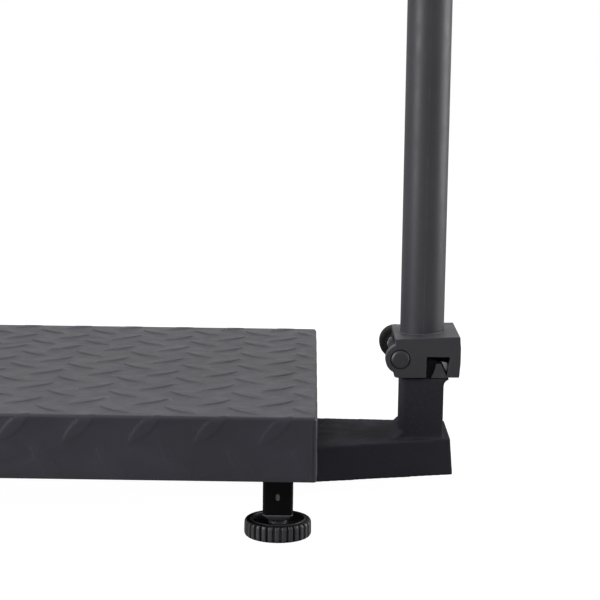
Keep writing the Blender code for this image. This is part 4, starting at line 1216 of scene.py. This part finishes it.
def make_carried_over():
    """CAD nodes whose shape stays as it is."""
    for node, width, finish in (
        ("load_cell", 0.0006, "aluminium"),
        ("load_cell_spacer", 0.0003, "aluminium"),
        ("load_cell_plate", 0.0006, "powder_coat"),
        ("spider_plate", 0.0008, "powder_coat"),
        ("indicator_bracket", 0.0007, "powder_coat"),
        ("pivot_washer", 0.0002, "zinc_steel"),
        ("clamp_knob_insert", 0.0002, "brass"),
        ("column_plug", 0.0004, "black_plastic"),
        ("circuit_board", 0.0001, "circuit"),
        ("battery", 0.0030, "battery"),
    ):
        soften(node, width, finish)
    for corner in CORNERS:
        soften(f"spider_pad_{corner}", 0.0005, "rubber")


# ---- floor, light, camera
def lamp(name, place, target, size, power, colour):
    """A rectangular soft box that faces its target."""
    light = bpy.data.lights.new(name, "AREA")
    light.energy = power
    light.color = colour
    light.shape = "RECTANGLE"
    light.size, light.size_y = size
    made = stand(name, light)
    made.location = place
    made.rotation_euler = (Vector(target) - Vector(place)).to_track_quat("-Z", "Y").to_euler()


def seen_directly(tree):
    """1 for the camera's own rays, 0 for light that reaches the object."""
    return tree.nodes.new("ShaderNodeLightPath").outputs["Is Camera Ray"]


def make_sky(scene):
    """White behind the object. What lights it is brighter above and behind than in front."""
    world = bpy.data.worlds.new("studio")
    world.use_nodes = True
    scene.world = world
    tree = world.node_tree
    background = tree.nodes["Background"]
    direction = tree.nodes.new("ShaderNodeTexCoord").outputs["Generated"]
    split = tree.nodes.new("ShaderNodeSeparateXYZ")
    tree.links.new(direction, split.inputs[0])
    glow = None
    for axis, low, high, dark, bright in (("Y", -0.6, 0.9, 0.56, 0.74), ("Z", -0.5, 0.9, 0.50, 1.0)):
        reach = tree.nodes.new("ShaderNodeMapRange")
        for socket, value in zip(reach.inputs[1:5], (low, high, dark, bright)):
            socket.default_value = value
        tree.links.new(split.outputs[axis], reach.inputs[0])
        if glow is None:
            glow = reach.outputs[0]
            continue
        both = tree.nodes.new("ShaderNodeMath")
        both.operation = "MULTIPLY"
        tree.links.new(glow, both.inputs[0])
        tree.links.new(reach.outputs[0], both.inputs[1])
        glow = both.outputs[0]
    choice = tree.nodes.new("ShaderNodeMix")
    choice.inputs[3].default_value = 1.0
    tree.links.new(seen_directly(tree), choice.inputs[0])
    tree.links.new(glow, choice.inputs[2])
    tree.links.new(choice.outputs[0], background.inputs["Strength"])
    background.inputs["Color"].default_value = (1.0, 1.0, 1.0, 1.0)


def make_floor():
    """A white floor that throws little light up at the object."""
    shape = bmesh.new()
    bmesh.ops.create_grid(shape, x_segments=8, y_segments=8, size=6.0)
    mesh = bpy.data.meshes.new("floor")
    shape.to_mesh(mesh)
    shape.free()
    floor = stand("floor", mesh)
    floor.location.z = -0.0002
    pale = Finish("floor", specular=0.0)
    tree = pale.material.node_tree
    plain = pale.ramp(pale.noise(6, 3), (0.12, 0.12, 0.12), (0.14, 0.14, 0.14), 0.3, 0.7)
    pale.drive("Base Color", plain)
    pale.drive("Roughness", pale.ramp(pale.noise(40, 2), 0.75, 0.85, 0.3, 0.7))
    pale.shader.inputs["Emission Color"].default_value = (1.0, 1.0, 1.0, 1.0)
    glossy = tree.nodes.new("ShaderNodeLightPath").outputs["Is Glossy Ray"]
    lit = pale.combine("MULTIPLY", seen_directly(tree), FLOOR_SEEN)
    lit = pale.combine("ADD", lit, pale.combine("MULTIPLY", glossy, FLOOR_MIRRORED))
    pale.drive("Emission Strength", lit)
    mesh.materials.append(pale.material)


def make_studio():
    """A pale floor, a white surround and soft boxes above and at both sides."""
    scene = bpy.context.scene
    scene.view_settings.view_transform = "Standard"
    make_sky(scene)
    make_floor()
    lamp("overhead", (0.0, 0.7, 1.7), (0.1, 0.0, 0.1), (1.6, 1.2), 7, OVERHEAD_COLOUR)
    lamp("left_strip", (-1.0, -0.8, 0.7), (0.28, 0.0, 0.45), (0.4, 1.8), 22, STRIP_COLOUR)
    lamp("right_strip", (1.5, 0.1, 0.5), (0.25, 0.0, 0.45), (0.9, 1.8), 22, STRIP_COLOUR)


def make_camera():
    """The picture's view: a long lens from the front, a little above the pan."""
    camera = bpy.data.cameras.new("camera")
    camera.lens = CAMERA_LENS
    camera.sensor_width = 36.0
    made = stand("camera", camera)
    made.location = CAMERA_PLACE
    made.rotation_euler = [math.radians(angle) for angle in CAMERA_TURN]
    bpy.context.scene.camera = made


def main():
    make_pan()
    make_castings()
    make_bolt()
    make_clamp_knob()
    make_stop_wedge()
    make_stop_lug()
    make_column()
    make_tubes()
    make_frame_welds()
    for corner in CORNERS:
        make_leg(corner)
        make_leg_plug(corner)
        make_foot(corner)
    make_screws()
    make_front_case()
    make_display()
    make_noughts()
    make_keys()
    make_rear_case()
    make_tilt_knobs()
    make_carried_over()
    make_studio()
    make_camera()


main()
